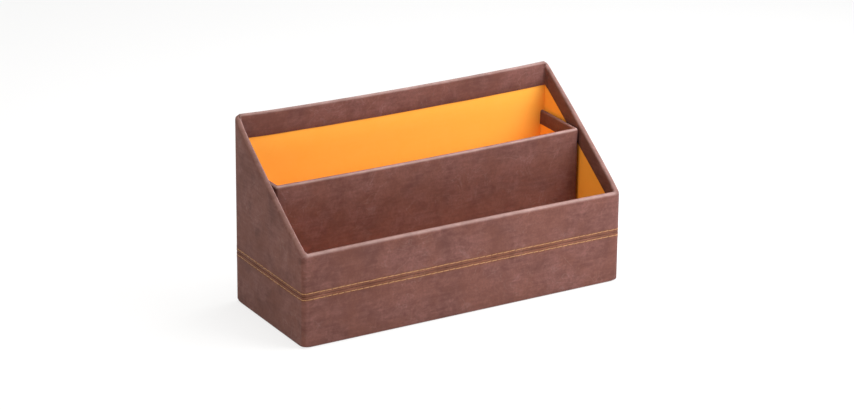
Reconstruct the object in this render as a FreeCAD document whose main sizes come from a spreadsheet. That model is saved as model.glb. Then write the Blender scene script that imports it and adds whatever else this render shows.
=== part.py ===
import FreeCAD, Part
import os
import Sketcher

# Desktop letter holder: an open case of greyboard covered in leatherette, with a low front wall,
# a tall rear wall and side walls that slope between them. A U-shaped divider insert stands in
# the case and makes two pockets. Lengths are in millimetres. The origin is the middle of the
# underside, +X runs along the width, +Y to the rear and +Z up.

# Driving sizes: alias, value and what it measures.
SIZES = [
    ("case_width", 250.0, "overall width of the case"),
    ("case_depth", 97.0, "overall depth of the case"),
    ("rear_height", 135.0, "height of the rear wall's rim above the table"),
    ("front_height", 66.5, "height of the front wall's rim above the table"),
    ("board_thickness", 2.0, "greyboard"),
    ("cover_thickness", 0.5, "leatherette"),
    ("lining_thickness", 0.2, "lining paper"),
    ("board_corner_radius", 1.5, "rounding of the boards' outer upright edges"),
    ("seam_height", 36.8, "height of the sewn seam above the table"),
    ("stitch_offset", 2.2, "from the seam to each stitch row"),
    ("thread_width", 0.5, "height of the groove that a stitch row lies in"),
    ("thread_depth", 0.3, "depth of that groove"),
    ("rear_turn_in", 17.0, "leatherette turned over the rear rim"),
    ("side_turn_in", 11.5, "leatherette turned over a side rim, square to the slope"),
    ("front_turn_in", 12.0, "leatherette turned over the front rim"),
    ("turn_under", 15.0, "leatherette turned under the base"),
    ("underside_thickness", 0.5, "underside sheet"),
    ("underside_inset", 3.0, "from the case's faces to the underside sheet"),
    ("sheet_gap", 0.3, "between the underside sheet and the turned-under edges"),
    ("front_pocket_depth", 44.0, "clear depth of the front pocket"),
    ("insert_top", 99.5, "height of the insert's rim above the table"),
    ("insert_side_gap", 1.5, "between the insert and the side walls' turned-in edge"),
    ("insert_turn_in", 10.0, "leatherette turned over the insert's rim"),
]

document = FreeCAD.newDocument("letter_holder")
sheet = document.addObject("Spreadsheet::Sheet", "sizes")
for row, (alias, value, meaning) in enumerate(SIZES, start=1):
    sheet.set(f"A{row}", meaning)
    sheet.set(f"B{row}", str(value))
    sheet.setAlias(f"B{row}", alias)
document.recompute()

# Distances from the middle planes, and levels above the table.
COVER = "sizes.cover_thickness"
BOARD = "sizes.board_thickness"
LINING = "sizes.lining_thickness"
BOARD_WALL = f"({COVER} + {BOARD})"
LINED_WALL = f"({BOARD_WALL} + {LINING})"
RIM_WALL = f"({LINED_WALL} + {COVER})"
CORNER = f"(sizes.board_corner_radius + {COVER})"
HALF_WIDTH = "(sizes.case_width / 2)"
HALF_DEPTH = "(sizes.case_depth / 2)"
UNDERSIDE = "sizes.underside_thickness"
BASE_BOTTOM = f"({UNDERSIDE} + {COVER})"
BASE_TOP = f"({UNDERSIDE} + {BOARD_WALL})"
FLOOR = f"({UNDERSIDE} + {LINED_WALL})"
SEAM = "sizes.seam_height"
FRONT_TOP = "sizes.front_height"
REAR_TOP = "sizes.rear_height"

# The side rims are one straight slope from the front rim to the rear rim.
RISE = "((sizes.rear_height - sizes.front_height) / sizes.case_depth)"
SQUARE_DROP = f"sqrt(1 + {RISE} ^ 2)"

# The insert, between the side walls and from the front pocket to the rear lining.
INSERT_SIDE = f"({HALF_WIDTH} - {RIM_WALL} - sizes.insert_side_gap)"
INSERT_FRONT = f"(-{HALF_DEPTH} + {RIM_WALL} + sizes.front_pocket_depth)"
INSERT_REAR = f"({HALF_DEPTH} - {LINED_WALL})"
INSERT_TOP = "sizes.insert_top"

PLACE_TOLERANCE = 1e-6


def slope(depth, drop="0"):
    """Height of the side rim's slope at a depth, lowered by a drop measured square to it."""
    return f"({FRONT_TOP} + ({depth} + {HALF_DEPTH}) * {RISE} - ({drop}) * {SQUARE_DROP})"


def inside(half, wall):
    """Distance from the middle plane to a face that lies a wall inside an outer face."""
    return f"({half} - {wall})"


def amount(text):
    """Present value of an expression on the sheet."""
    return float(sheet.evalExpression(text))


def origin_plane(body, role):
    """One of a body's own origin planes."""
    return next(feature for feature in body.Origin.OriginFeatures if feature.Role == role)


def add_polygon(sketch, corners):
    """Draw a closed outline whose corners follow the sheet."""
    first = sketch.GeometryCount
    count = len(corners)
    points = [FreeCAD.Vector(amount(x), amount(y), 0) for x, y in corners]
    for place in range(count):
        line = Part.LineSegment(points[place], points[(place + 1) % count])
        sketch.addGeometry(line, False)
    for place in range(count):
        following = first + (place + 1) % count
        sketch.addConstraint(Sketcher.Constraint("Coincident", first + place, 2, following, 1))
    for place, (corner, point) in enumerate(zip(corners, points)):
        for kind, text, value in zip(("DistanceX", "DistanceY"), corner, (point.x, point.y)):
            constraint = Sketcher.Constraint(kind, -1, 1, first + place, 1, value)
            index = sketch.addConstraint(constraint)
            sketch.setExpression(f"Constraints[{index}]", text)


def outline(body, name, role, polygons, offset="0"):
    """Sketch on an origin plane of the body, moved along the plane's normal by the offset."""
    sketch = body.newObject("Sketcher::SketchObject", name)
    sketch.AttachmentSupport = (origin_plane(body, role), [""])
    sketch.MapMode = "FlatFace"
    sketch.setExpression("AttachmentOffset.Base.z", offset)
    for corners in polygons:
        add_polygon(sketch, corners)
    document.recompute()
    return sketch


def rectangle(low_x, high_x, low_y, high_y):
    """Corners of a rectangle."""
    return [(low_x, low_y), (high_x, low_y), (high_x, high_y), (low_x, high_y)]


def centred(half_x, half_y):
    """Corners of a rectangle about the origin."""
    return rectangle(f"-{half_x}", half_x, f"-{half_y}", half_y)


def pad(body, sketch, length, middle=False):
    """Raise a solid from a sketch, along its normal or to both sides of it."""
    feature = body.newObject("PartDesign::Pad", f"{sketch.Name}_pad")
    feature.Profile = sketch
    feature.Midplane = middle
    feature.setExpression("Length", length)
    document.recompute()
    return feature


def pocket(body, sketch, length, middle=False, along_normal=False):
    """Cut a sketch out of the body, against its normal unless told otherwise."""
    before = body.Shape.Volume
    feature = body.newObject("PartDesign::Pocket", f"{sketch.Name}_pocket")
    feature.Profile = sketch
    feature.Midplane = middle
    feature.Reversed = along_normal
    feature.setExpression("Length", length)
    document.recompute()
    if not body.Shape.Volume < before:
        raise ValueError(f"{feature.Name} cuts nothing")
    return feature


def round_uprights(body, places, radius):
    """Round the body's vertical edges that stand at the given places in plan."""
    targets = [(amount(x), amount(y)) for x, y in places]

    def stands_there(edge):
        ends = [vertex.Point for vertex in edge.Vertexes]
        return len(ends) == 2 and any(
            all(abs(end.x - x) + abs(end.y - y) < PLACE_TOLERANCE for end in ends)
            for x, y in targets
        )

    base = body.Tip
    names = [f"Edge{n}" for n, edge in enumerate(base.Shape.Edges, start=1) if stands_there(edge)]
    if len(names) < len(places):
        raise ValueError(f"{base.Name} has no upright edge at each place to round")
    feature = body.newObject("PartDesign::Fillet", f"{base.Name}_rounding")
    feature.Base = (base, names)
    feature.setExpression("Radius", radius)
    document.recompute()
    return feature


def four_corners(half_x, half_y):
    """Places of the four upright edges of a block about the origin."""
    return [(x, y) for x in (f"-{half_x}", half_x) for y in (f"-{half_y}", half_y)]


def new_body(label):
    """Empty body with the sub-part's name."""
    return document.addObject("PartDesign::Body", label)


def block(label, low, high):
    """Rectangular sheet between two corners that follow the sheet."""
    box = document.addObject("Part::Box", label)
    for size, axis, start, end in zip(("Length", "Width", "Height"), "xyz", low, high):
        box.setExpression(size, f"{end} - ({start})")
        box.setExpression(f"Placement.Base.{axis}", start)
    document.recompute()
    return box


# Boards of the case. The walls stand on the base, and the front and rear boards stand
# between the side boards.

def base_board():
    """Floor of the case, with rounded upright edges."""
    half_x, half_y = inside(HALF_WIDTH, COVER), inside(HALF_DEPTH, COVER)
    body = new_body("base_board")
    plan = outline(body, "base_plan", "XY_Plane", [centred(half_x, half_y)], BASE_BOTTOM)
    pad(body, plan, BOARD)
    round_uprights(body, four_corners(half_x, half_y), "sizes.board_corner_radius")
    return body


def wall_board(label, near, far, top):
    """Front or rear board, between the side boards."""
    half_x = inside(HALF_WIDTH, BOARD_WALL)
    return block(label, (f"-{half_x}", near, BASE_TOP), (half_x, far, f"({top} - {COVER})"))


def sloping_sheet(label, left_face, thickness, half_depth, bottom):
    """Sheet in a side wall, up to the underside of the rim's cover."""
    body = new_body(label)
    profile = [
        (f"-{half_depth}", bottom),
        (half_depth, bottom),
        (half_depth, slope(half_depth, COVER)),
        (f"-{half_depth}", slope(f"-{half_depth}", COVER)),
    ]
    side = outline(body, f"{label}_profile", "YZ_Plane", [profile], left_face)
    pad(body, side, thickness)
    return body


def side_board(label, side):
    """Sloping side board over the full depth, rounded along its outer upright edges."""
    outer = inside(HALF_WIDTH, COVER)
    half_depth = inside(HALF_DEPTH, COVER)
    left_face = f"-{outer}" if side < 0 else f"({outer} - {BOARD})"
    body = sloping_sheet(label, left_face, BOARD, half_depth, BASE_TOP)
    outer_face = f"-{outer}" if side < 0 else outer
    edges = [(outer_face, f"-{half_depth}"), (outer_face, half_depth)]
    round_uprights(body, edges, "sizes.board_corner_radius")
    return body


# Lining paper on the floor and on the inner faces of the walls.

def floor_lining():
    """Lining of the floor, up to the boards."""
    half_x, half_y = inside(HALF_WIDTH, BOARD_WALL), inside(HALF_DEPTH, BOARD_WALL)
    return block("floor_lining", (f"-{half_x}", f"-{half_y}", BASE_TOP), (half_x, half_y, FLOOR))


def wall_lining(label, near, far, top):
    """Lining of the front or rear wall, between the side linings."""
    half_x = inside(HALF_WIDTH, LINED_WALL)
    return block(label, (f"-{half_x}", near, FLOOR), (half_x, far, f"({top} - {COVER})"))


def side_lining(label, side):
    """Lining of a side wall, between the front and rear boards."""
    board_face = inside(HALF_WIDTH, BOARD_WALL)
    left_face = f"-{board_face}" if side < 0 else f"({board_face} - {LINING})"
    return sloping_sheet(label, left_face, LINING, inside(HALF_DEPTH, BOARD_WALL), FLOOR)


# Leatherette of the case, in an upper and a lower sheet that meet at the sewn seam.

def stitch_row(label, middle):
    """Thread of one stitch row, let into the cover all round the case."""
    body = new_body(label)
    level = f"({middle} - sizes.thread_width / 2)"
    plan = outline(body, f"{label}_plan", "XY_Plane", [centred(HALF_WIDTH, HALF_DEPTH)], level)
    pad(body, plan, "sizes.thread_width")
    half_x, half_y = (inside(half, "sizes.thread_depth") for half in (HALF_WIDTH, HALF_DEPTH))
    hole = outline(body, f"{label}_hole", "XY_Plane", [centred(half_x, half_y)], level)
    pocket(body, hole, "sizes.thread_width", along_normal=True)
    round_uprights(body, four_corners(half_x, half_y), f"({CORNER} - sizes.thread_depth)")
    round_uprights(body, four_corners(HALF_WIDTH, HALF_DEPTH), CORNER)
    return body


def grooved(label, cover, thread):
    """Cover with the groove that its stitch row lies in."""
    cut = document.addObject("Part::Cut", label)
    cut.Base = cover
    cut.Tool = thread
    document.recompute()
    return cut


def lower_sheet():
    """Leatherette from the seam down, with its edges turned under the base."""
    body = new_body("lower_sheet")
    plan = outline(body, "lower_plan", "XY_Plane", [centred(HALF_WIDTH, HALF_DEPTH)], UNDERSIDE)
    pad(body, plan, f"({SEAM} - {UNDERSIDE})")
    half_x, half_y = inside(HALF_WIDTH, COVER), inside(HALF_DEPTH, COVER)
    room = outline(body, "lower_room", "XY_Plane", [centred(half_x, half_y)], BASE_BOTTOM)
    pocket(body, room, f"({SEAM} - {BASE_BOTTOM})", along_normal=True)
    round_uprights(body, four_corners(half_x, half_y), "sizes.board_corner_radius")
    round_uprights(body, four_corners(HALF_WIDTH, HALF_DEPTH), CORNER)
    half_x, half_y = (inside(half, "sizes.turn_under") for half in (HALF_WIDTH, HALF_DEPTH))
    opening = outline(body, "lower_opening", "XY_Plane", [centred(half_x, half_y)], UNDERSIDE)
    pocket(body, opening, COVER, along_normal=True)
    return body


def rims(body):
    """Cut the raised block to the rims: sloping sides and level front and rear rims."""
    above = [
        (f"-{HALF_DEPTH}", slope(f"-{HALF_DEPTH}")),
        (HALF_DEPTH, slope(HALF_DEPTH)),
        (f"-{HALF_DEPTH}", REAR_TOP),
    ]
    slope_cut = outline(body, "slope_cut", "YZ_Plane", [above])
    pocket(body, slope_cut, "sizes.case_width", middle=True)
    rear_inner = inside(HALF_DEPTH, RIM_WALL)
    proud = [(rear_inner, slope(rear_inner)), (HALF_DEPTH, REAR_TOP), (rear_inner, REAR_TOP)]
    rear_rim = outline(body, "rear_rim", "YZ_Plane", [proud])
    pad(body, rear_rim, f"(sizes.case_width - 2 * {BOARD})", middle=True)
    front_inner = f"-{rear_inner}"
    over = [
        (f"-{HALF_DEPTH}", FRONT_TOP),
        (front_inner, FRONT_TOP),
        (front_inner, slope(front_inner)),
    ]
    front_rim = outline(body, "front_rim", "YZ_Plane", [over])
    pocket(body, front_rim, f"(sizes.case_width - 2 * {RIM_WALL})", middle=True)


def board_room(body):
    """Cut the room that the boards and their lining take up inside the upper cover."""
    near, far = inside(HALF_DEPTH, COVER), inside(HALF_DEPTH, LINED_WALL)
    front = rectangle(f"-{near}", f"-{far}", SEAM, f"({FRONT_TOP} - {COVER})")
    rear = rectangle(far, near, SEAM, f"({REAR_TOP} - {COVER})")
    walls = outline(body, "wall_room", "YZ_Plane", [front, rear])
    pocket(body, walls, f"(sizes.case_width - 2 * {BOARD_WALL})", middle=True)
    profile = [
        (f"-{near}", SEAM),
        (near, SEAM),
        (near, slope(near, COVER)),
        (f"-{near}", slope(f"-{near}", COVER)),
    ]
    outer = inside(HALF_WIDTH, COVER)
    for name, face, along_normal in (("left_room", f"-{outer}", True), ("right_room", outer, False)):
        side = outline(body, name, "YZ_Plane", [profile], face)
        pocket(body, side, f"({BOARD} + {LINING})", along_normal=along_normal)
    round_uprights(body, four_corners(outer, near), "sizes.board_corner_radius")


def turned_in_edges(body):
    """Cut the pocket out of the upper cover and leave the turned-in edges at the rims."""
    half_x, half_y = inside(HALF_WIDTH, RIM_WALL), inside(HALF_DEPTH, RIM_WALL)
    cavity = outline(body, "cavity", "XY_Plane", [centred(half_x, half_y)], REAR_TOP)
    pocket(body, cavity, f"({REAR_TOP} - {SEAM})")
    lined = inside(HALF_DEPTH, LINED_WALL)
    front_edge = f"({FRONT_TOP} - sizes.front_turn_in)"
    rear_edge = f"({REAR_TOP} - sizes.rear_turn_in)"
    below = [
        (f"-{lined}", SEAM),
        (lined, SEAM),
        (lined, rear_edge),
        (half_y, rear_edge),
        (half_y, slope(half_y, "sizes.side_turn_in")),
        (f"-{half_y}", slope(f"-{half_y}", "sizes.side_turn_in")),
        (f"-{half_y}", front_edge),
        (f"-{lined}", front_edge),
    ]
    edges = outline(body, "below_edges", "YZ_Plane", [below])
    pocket(body, edges, f"(sizes.case_width - 2 * {LINED_WALL})", middle=True)


def upper_sheet():
    """Leatherette from the seam up, over the rims and turned in."""
    body = new_body("upper_sheet")
    plan = outline(body, "upper_plan", "XY_Plane", [centred(HALF_WIDTH, HALF_DEPTH)], SEAM)
    pad(body, plan, f"({REAR_TOP} - {SEAM})")
    rims(body)
    turned_in_edges(body)
    board_room(body)
    round_uprights(body, four_corners(HALF_WIDTH, HALF_DEPTH), CORNER)
    return body


def underside_sheet():
    """Sheet over the turned-under edges, thicker where it levels the hollow between them."""
    body = new_body("underside_sheet")
    edge = "sizes.underside_inset"
    half_x, half_y = inside(HALF_WIDTH, edge), inside(HALF_DEPTH, edge)
    plan = outline(body, "underside_plan", "XY_Plane", [centred(half_x, half_y)])
    pad(body, plan, UNDERSIDE)
    edge = "(sizes.turn_under + sizes.sheet_gap)"
    half_x, half_y = inside(HALF_WIDTH, edge), inside(HALF_DEPTH, edge)
    filling = outline(body, "underside_filling", "XY_Plane", [centred(half_x, half_y)])
    pad(body, filling, BASE_BOTTOM)
    return body


# Divider insert: a front panel with a return at each end that runs back to the rear wall.

def insert_front_board():
    """Board of the insert's front panel, rounded along its two front upright edges."""
    half_x = f"({INSERT_SIDE} - {COVER})"
    near = f"({INSERT_FRONT} + {COVER})"
    body = new_body("insert_front_board")
    corners = rectangle(f"-{half_x}", half_x, near, f"({INSERT_FRONT} + {BOARD_WALL})")
    plan = outline(body, "insert_front_plan", "XY_Plane", [corners], FLOOR)
    pad(body, plan, f"({INSERT_TOP} - {COVER} - {FLOOR})")
    edges = [(f"-{half_x}", near), (half_x, near)]
    round_uprights(body, edges, "sizes.board_corner_radius")
    return body


def insert_upright(label, side, outer_wall, inner_wall):
    """Board or lining of one return, between two depths inside the return's outer face."""
    outer, inner = f"({INSERT_SIDE} - {outer_wall})", f"({INSERT_SIDE} - {inner_wall})"
    low_x, high_x = (f"-{outer}", f"-{inner}") if side < 0 else (inner, outer)
    near = f"({INSERT_FRONT} + {BOARD_WALL})"
    return block(label, (low_x, near, FLOOR), (high_x, INSERT_REAR, f"({INSERT_TOP} - {COVER})"))


def insert_front_lining():
    """Lining of the front panel's back, between the returns' linings."""
    half_x = f"({INSERT_SIDE} - {LINED_WALL})"
    low = (f"-{half_x}", f"({INSERT_FRONT} + {BOARD_WALL})", FLOOR)
    high = (half_x, f"({INSERT_FRONT} + {LINED_WALL})", f"({INSERT_TOP} - {COVER})")
    return block("insert_front_lining", low, high)


def u_shape(outer_wall, inner_wall):
    """Plan of the insert's wall between two depths inside its outer faces."""
    outer_x, outer_y = f"({INSERT_SIDE} - {outer_wall})", f"({INSERT_FRONT} + {outer_wall})"
    inner_x, inner_y = f"({INSERT_SIDE} - {inner_wall})", f"({INSERT_FRONT} + {inner_wall})"
    return [
        (f"-{outer_x}", INSERT_REAR),
        (f"-{outer_x}", outer_y),
        (outer_x, outer_y),
        (outer_x, INSERT_REAR),
        (inner_x, INSERT_REAR),
        (inner_x, inner_y),
        (f"-{inner_x}", inner_y),
        (f"-{inner_x}", INSERT_REAR),
    ]


def insert_cover():
    """Leatherette of the insert, over its rim and turned in."""
    body = new_body("insert_cover")
    plan = outline(body, "insert_plan", "XY_Plane", [u_shape("0", RIM_WALL)], FLOOR)
    pad(body, plan, f"({INSERT_TOP} - {FLOOR})")
    under_rim = f"({INSERT_TOP} - {COVER})"
    room = outline(body, "insert_room", "XY_Plane", [u_shape(COVER, LINED_WALL)], under_rim)
    pocket(body, room, f"({under_rim} - {FLOOR})")
    board_side, board_front = f"({INSERT_SIDE} - {COVER})", f"({INSERT_FRONT} + {COVER})"
    edges = [(f"-{board_side}", board_front), (board_side, board_front)]
    round_uprights(body, edges, "sizes.board_corner_radius")
    edges = [(f"-{INSERT_SIDE}", INSERT_FRONT), (INSERT_SIDE, INSERT_FRONT)]
    round_uprights(body, edges, CORNER)
    turned_edge = f"({INSERT_TOP} - sizes.insert_turn_in)"
    below = outline(body, "insert_below", "XY_Plane", [u_shape(LINED_WALL, RIM_WALL)], turned_edge)
    pocket(body, below, f"({turned_edge} - {FLOOR})")
    return body


# Faces of the front and rear walls, from the outside in.
BOARD_OUTER = inside(HALF_DEPTH, COVER)
BOARD_INNER = inside(HALF_DEPTH, BOARD_WALL)
LINING_FACE = inside(HALF_DEPTH, LINED_WALL)

upper_thread = stitch_row("upper_stitch_row", f"({SEAM} + sizes.stitch_offset)")
lower_thread = stitch_row("lower_stitch_row", f"({SEAM} - sizes.stitch_offset)")

PARTS = [
    base_board(),
    wall_board("front_board", f"-{BOARD_OUTER}", f"-{BOARD_INNER}", FRONT_TOP),
    wall_board("rear_board", BOARD_INNER, BOARD_OUTER, REAR_TOP),
    side_board("left_side_board", -1),
    side_board("right_side_board", 1),
    floor_lining(),
    wall_lining("front_lining", f"-{BOARD_INNER}", f"-{LINING_FACE}", FRONT_TOP),
    wall_lining("rear_lining", LINING_FACE, BOARD_INNER, REAR_TOP),
    side_lining("left_lining", -1),
    side_lining("right_lining", 1),
    upper_thread,
    lower_thread,
    grooved("upper_cover", upper_sheet(), upper_thread),
    grooved("lower_cover", lower_sheet(), lower_thread),
    underside_sheet(),
    insert_front_board(),
    insert_upright("insert_left_board", -1, COVER, BOARD_WALL),
    insert_upright("insert_right_board", 1, COVER, BOARD_WALL),
    insert_front_lining(),
    insert_upright("insert_left_lining", -1, BOARD_WALL, LINED_WALL),
    insert_upright("insert_right_lining", 1, BOARD_WALL, LINED_WALL),
    insert_cover(),
]

document.recompute()
for item in document.Objects:
    if {"Invalid", "Error"} & set(item.State):
        raise RuntimeError(f"{item.Label} did not build: {item.State}")

os.makedirs("parts", exist_ok=True)
for part in PARTS:
    shape = part.Shape
    if shape.isNull() or not shape.isValid() or len(shape.Solids) != 1:
        raise RuntimeError(f"{part.Label} is not one valid solid")
    shape.exportStep(f"parts/{part.Label}.step")
    box = shape.BoundBox
    print(f"{part.Label}: {shape.Volume:.1f} mm3, z {box.ZMin:.2f} to {box.ZMax:.2f}")
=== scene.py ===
"""Looks of the desktop letter holder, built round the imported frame.

The case is wrapped in two strips of leatherette that meet at a sewn seam, and the divider insert in
a third. Each strip is cut flat, draped along the walls and turned over the rims, and the boards and
the lining paper follow the same slight bow of the walls. Lengths in this script are millimetres.
"""

from __future__ import annotations

import logging
import math
from contextlib import contextmanager
from dataclasses import dataclass, field
from enum import Enum
from typing import Callable, Iterator, Sequence, Union

import bpy
import numpy as np
from mathutils import Matrix, Vector

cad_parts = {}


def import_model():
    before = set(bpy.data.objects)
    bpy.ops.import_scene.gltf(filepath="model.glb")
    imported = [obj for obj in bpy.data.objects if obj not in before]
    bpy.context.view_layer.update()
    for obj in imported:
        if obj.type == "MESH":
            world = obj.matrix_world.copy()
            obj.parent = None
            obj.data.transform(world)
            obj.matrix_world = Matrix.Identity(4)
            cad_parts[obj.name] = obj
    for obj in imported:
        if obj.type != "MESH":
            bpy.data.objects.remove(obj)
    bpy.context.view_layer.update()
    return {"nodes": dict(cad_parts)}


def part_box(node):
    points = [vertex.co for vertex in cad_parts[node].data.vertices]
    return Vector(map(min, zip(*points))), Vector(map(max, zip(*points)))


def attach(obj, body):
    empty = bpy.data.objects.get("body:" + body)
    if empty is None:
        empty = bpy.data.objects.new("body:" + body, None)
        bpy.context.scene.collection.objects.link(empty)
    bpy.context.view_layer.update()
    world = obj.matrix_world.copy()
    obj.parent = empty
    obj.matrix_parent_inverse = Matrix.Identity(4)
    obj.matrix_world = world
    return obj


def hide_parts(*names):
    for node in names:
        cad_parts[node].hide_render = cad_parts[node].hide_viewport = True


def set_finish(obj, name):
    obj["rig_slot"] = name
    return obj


log = logging.getLogger("letter_holder")

MM = 0.001
BODY = "root"
MERGE_DISTANCE = 0.002 * MM
SMOOTH_ANGLE = math.radians(50)
RIGHT_ANGLE = math.pi / 2
HALF_TURN = 0.5
PHASE_RANGE = 6.3

# Rows of a turned-in, hand-cut edge: distance back from the wall's face, share that a flap
# under it lifts, height above the edge, and how much of the dark cut core shows, which also paints
# the edge's shadow line.
CUT_EDGE = ((0.0, 1.0, 0.12, 0.15), (0.04, 1.0, 0.0, 0.6), (0.40, 0.0, -0.04, 1.0))


class Slot(Enum):
    """Material slots of the record."""

    LEATHERETTE = "leatherette"
    LINING = "lining"
    THREAD = "thread"
    GREYBOARD = "greyboard"
    UNDERSIDE = "underside"


class Mask(Enum):
    """Point attributes that the finishes read."""

    # Painted highlight along the rims, with some real wear on the rims and the bottom edge.
    RIM = "rim"
    # Dark core of the cut edges, also painted as the edges' shadow line and as shade in the seam's
    # crease.
    CUT = "cut_edge"
    # Painted highlight by the seam: lighter and warmer leatherette.
    FOLD = "fold"


def smooth(low: float, high: float, value: np.ndarray) -> np.ndarray:
    """Smooth step from 0 at low to 1 at high.

    Args:
        low: Value where the step starts.
        high: Value where the step ends.
        value: Values to step over.

    Returns:
        The step at each value.
    """
    share = np.clip((value - low) / (high - low), 0.0, 1.0)
    return share * share * (3.0 - 2.0 * share)


def swell(value: np.ndarray, half: float) -> np.ndarray:
    """Crown that is 1 in the middle and 0 from half a span outwards."""
    return np.clip(1.0 - (value / half) ** 2, 0.0, 1.0)


def shoulder(stretched: float, crown_share: float = 0.35) -> float:
    """Painted highlight and some real wear of a rounded edge, most on its shoulder and little on its
    crown.

    Args:
        stretched: Share of the way up the rounding, from 0 at the upright face to 1 at the crown.
        crown_share: Painted highlight and wear that the crown alone adds.

    Returns:
        Share of the painted highlight and wear.
    """
    on_shoulder = 2 * stretched * math.sqrt(1 - stretched**2)
    return min(1.0, on_shoulder + crown_share * stretched**2) ** 2


def arc(radius: float, steps: int) -> list[tuple[float, float, float]]:
    """Rows of a rounded edge, from the upright face up to the crown.

    Args:
        radius: Radius of the rounding.
        steps: Number of rows.

    Returns:
        Inset, drop below the crown and share of the way up of each row.
    """
    turns = [RIGHT_ANGLE * step / (steps - 1) for step in range(steps)]
    return [
        (radius * (1 - math.cos(turn)), radius * (1 - math.sin(turn)), math.sin(turn))
        for turn in turns
    ]


@contextmanager
def editing(piece: bpy.types.Object, everything: bool = True) -> Iterator[None]:
    """Edit mode on one piece alone.

    Args:
        piece: Mesh object to edit.
        everything: Whether to select all of it, or to keep the edges that were picked.
    """
    bpy.ops.object.select_all(action="DESELECT")
    piece.select_set(True)
    bpy.context.view_layer.objects.active = piece
    bpy.ops.object.mode_set(mode="EDIT")
    if everything:
        bpy.ops.mesh.select_all(action="SELECT")
    try:
        yield
    finally:
        bpy.ops.object.mode_set(mode="OBJECT")


def select_edges(piece: bpy.types.Object, wanted: Callable[[Vector, Vector], bool]) -> int:
    """Select the edges that a test picks, from object mode.

    Args:
        piece: Mesh object in object mode.
        wanted: Test on an edge's two end points.

    Returns:
        Number of edges selected.
    """
    bpy.context.tool_settings.mesh_select_mode = (False, True, False)
    mesh = piece.data
    for group in (mesh.vertices, mesh.edges, mesh.polygons):
        group.foreach_set("select", [False] * len(group))
    picked = 0
    for edge in mesh.edges:
        start, end = (mesh.vertices[index].co for index in edge.vertices)
        if wanted(start, end):
            edge.select = True
            picked += 1
    return picked


def points_of(piece: bpy.types.Object) -> np.ndarray:
    """Vertices of a piece in millimetres, one row each."""
    flat = np.empty(len(piece.data.vertices) * 3)
    piece.data.vertices.foreach_get("co", flat)
    return flat.reshape(-1, 3) / MM


def place_points(piece: bpy.types.Object, points: np.ndarray) -> None:
    """Move the vertices of a piece to points in millimetres."""
    piece.data.vertices.foreach_set("co", (points * MM).ravel())
    piece.data.update()


def write_mask(piece: bpy.types.Object, mask: Mask, values: np.ndarray) -> None:
    """Store one value per vertex as a point attribute."""
    attribute = piece.data.attributes.new(mask.value, "FLOAT", "POINT")
    attribute.data.foreach_set("value", values.astype(np.float32).ravel())


def apply_modifiers(piece: bpy.types.Object) -> None:
    """Apply all of a piece's modifiers in order."""
    bpy.ops.object.select_all(action="DESELECT")
    piece.select_set(True)
    bpy.context.view_layer.objects.active = piece
    for modifier in list(piece.modifiers):
        bpy.ops.object.modifier_apply(modifier=modifier.name)


def hand_over(piece: bpy.types.Object, slot: Slot, nodes: Sequence[str]) -> None:
    """Let a finished piece ride on the frame in place of its CAD nodes, and report it.

    Args:
        piece: Finished mesh object.
        slot: Record slot that the piece takes its finish from.
        nodes: CAD nodes that it stands for.
    """
    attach(piece, BODY)
    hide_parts(*nodes)
    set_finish(piece, slot.value)
    log.info("%s: %d faces", piece.name, len(piece.data.polygons))


@dataclass(frozen=True)
class Leg:
    """Straight stretch of a wall's outer face in plan, with the inside on its left."""

    start: Vector
    end: Vector
    rounded_start: bool
    rounded_end: bool

    @property
    def direction(self) -> Vector:
        """Unit vector along the leg."""
        return (self.end - self.start).normalized()

    @property
    def inward(self) -> Vector:
        """Unit vector to the inside."""
        return Vector((-self.direction.y, self.direction.x))

    def place(self, share: np.ndarray, inset: np.ndarray, radius: np.ndarray) -> tuple:
        """Points in plan, at a share of the leg and an inset from its outer face."""
        length = (self.end - self.start).length
        reach = inset + radius
        first = reach * self.rounded_start
        last = length - reach * self.rounded_end
        run = first + share * (last - first)
        return tuple(
            self.start[axis] + self.direction[axis] * run + self.inward[axis] * inset
            for axis in (0, 1)
        )


@dataclass(frozen=True)
class Bend:
    """Rounded square corner between two legs."""

    corner: Vector
    before: Vector
    after: Vector

    def place(self, share: np.ndarray, inset: np.ndarray, radius: np.ndarray) -> tuple:
        """Points in plan, at a share of the bend and an inset from its outer face."""
        reach = inset + radius
        turn_before = reach - radius * np.cos(share * RIGHT_ANGLE)
        turn_after = reach - radius * np.sin(share * RIGHT_ANGLE)
        return tuple(
            self.corner[axis] + self.before[axis] * turn_before + self.after[axis] * turn_after
            for axis in (0, 1)
        )


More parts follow.
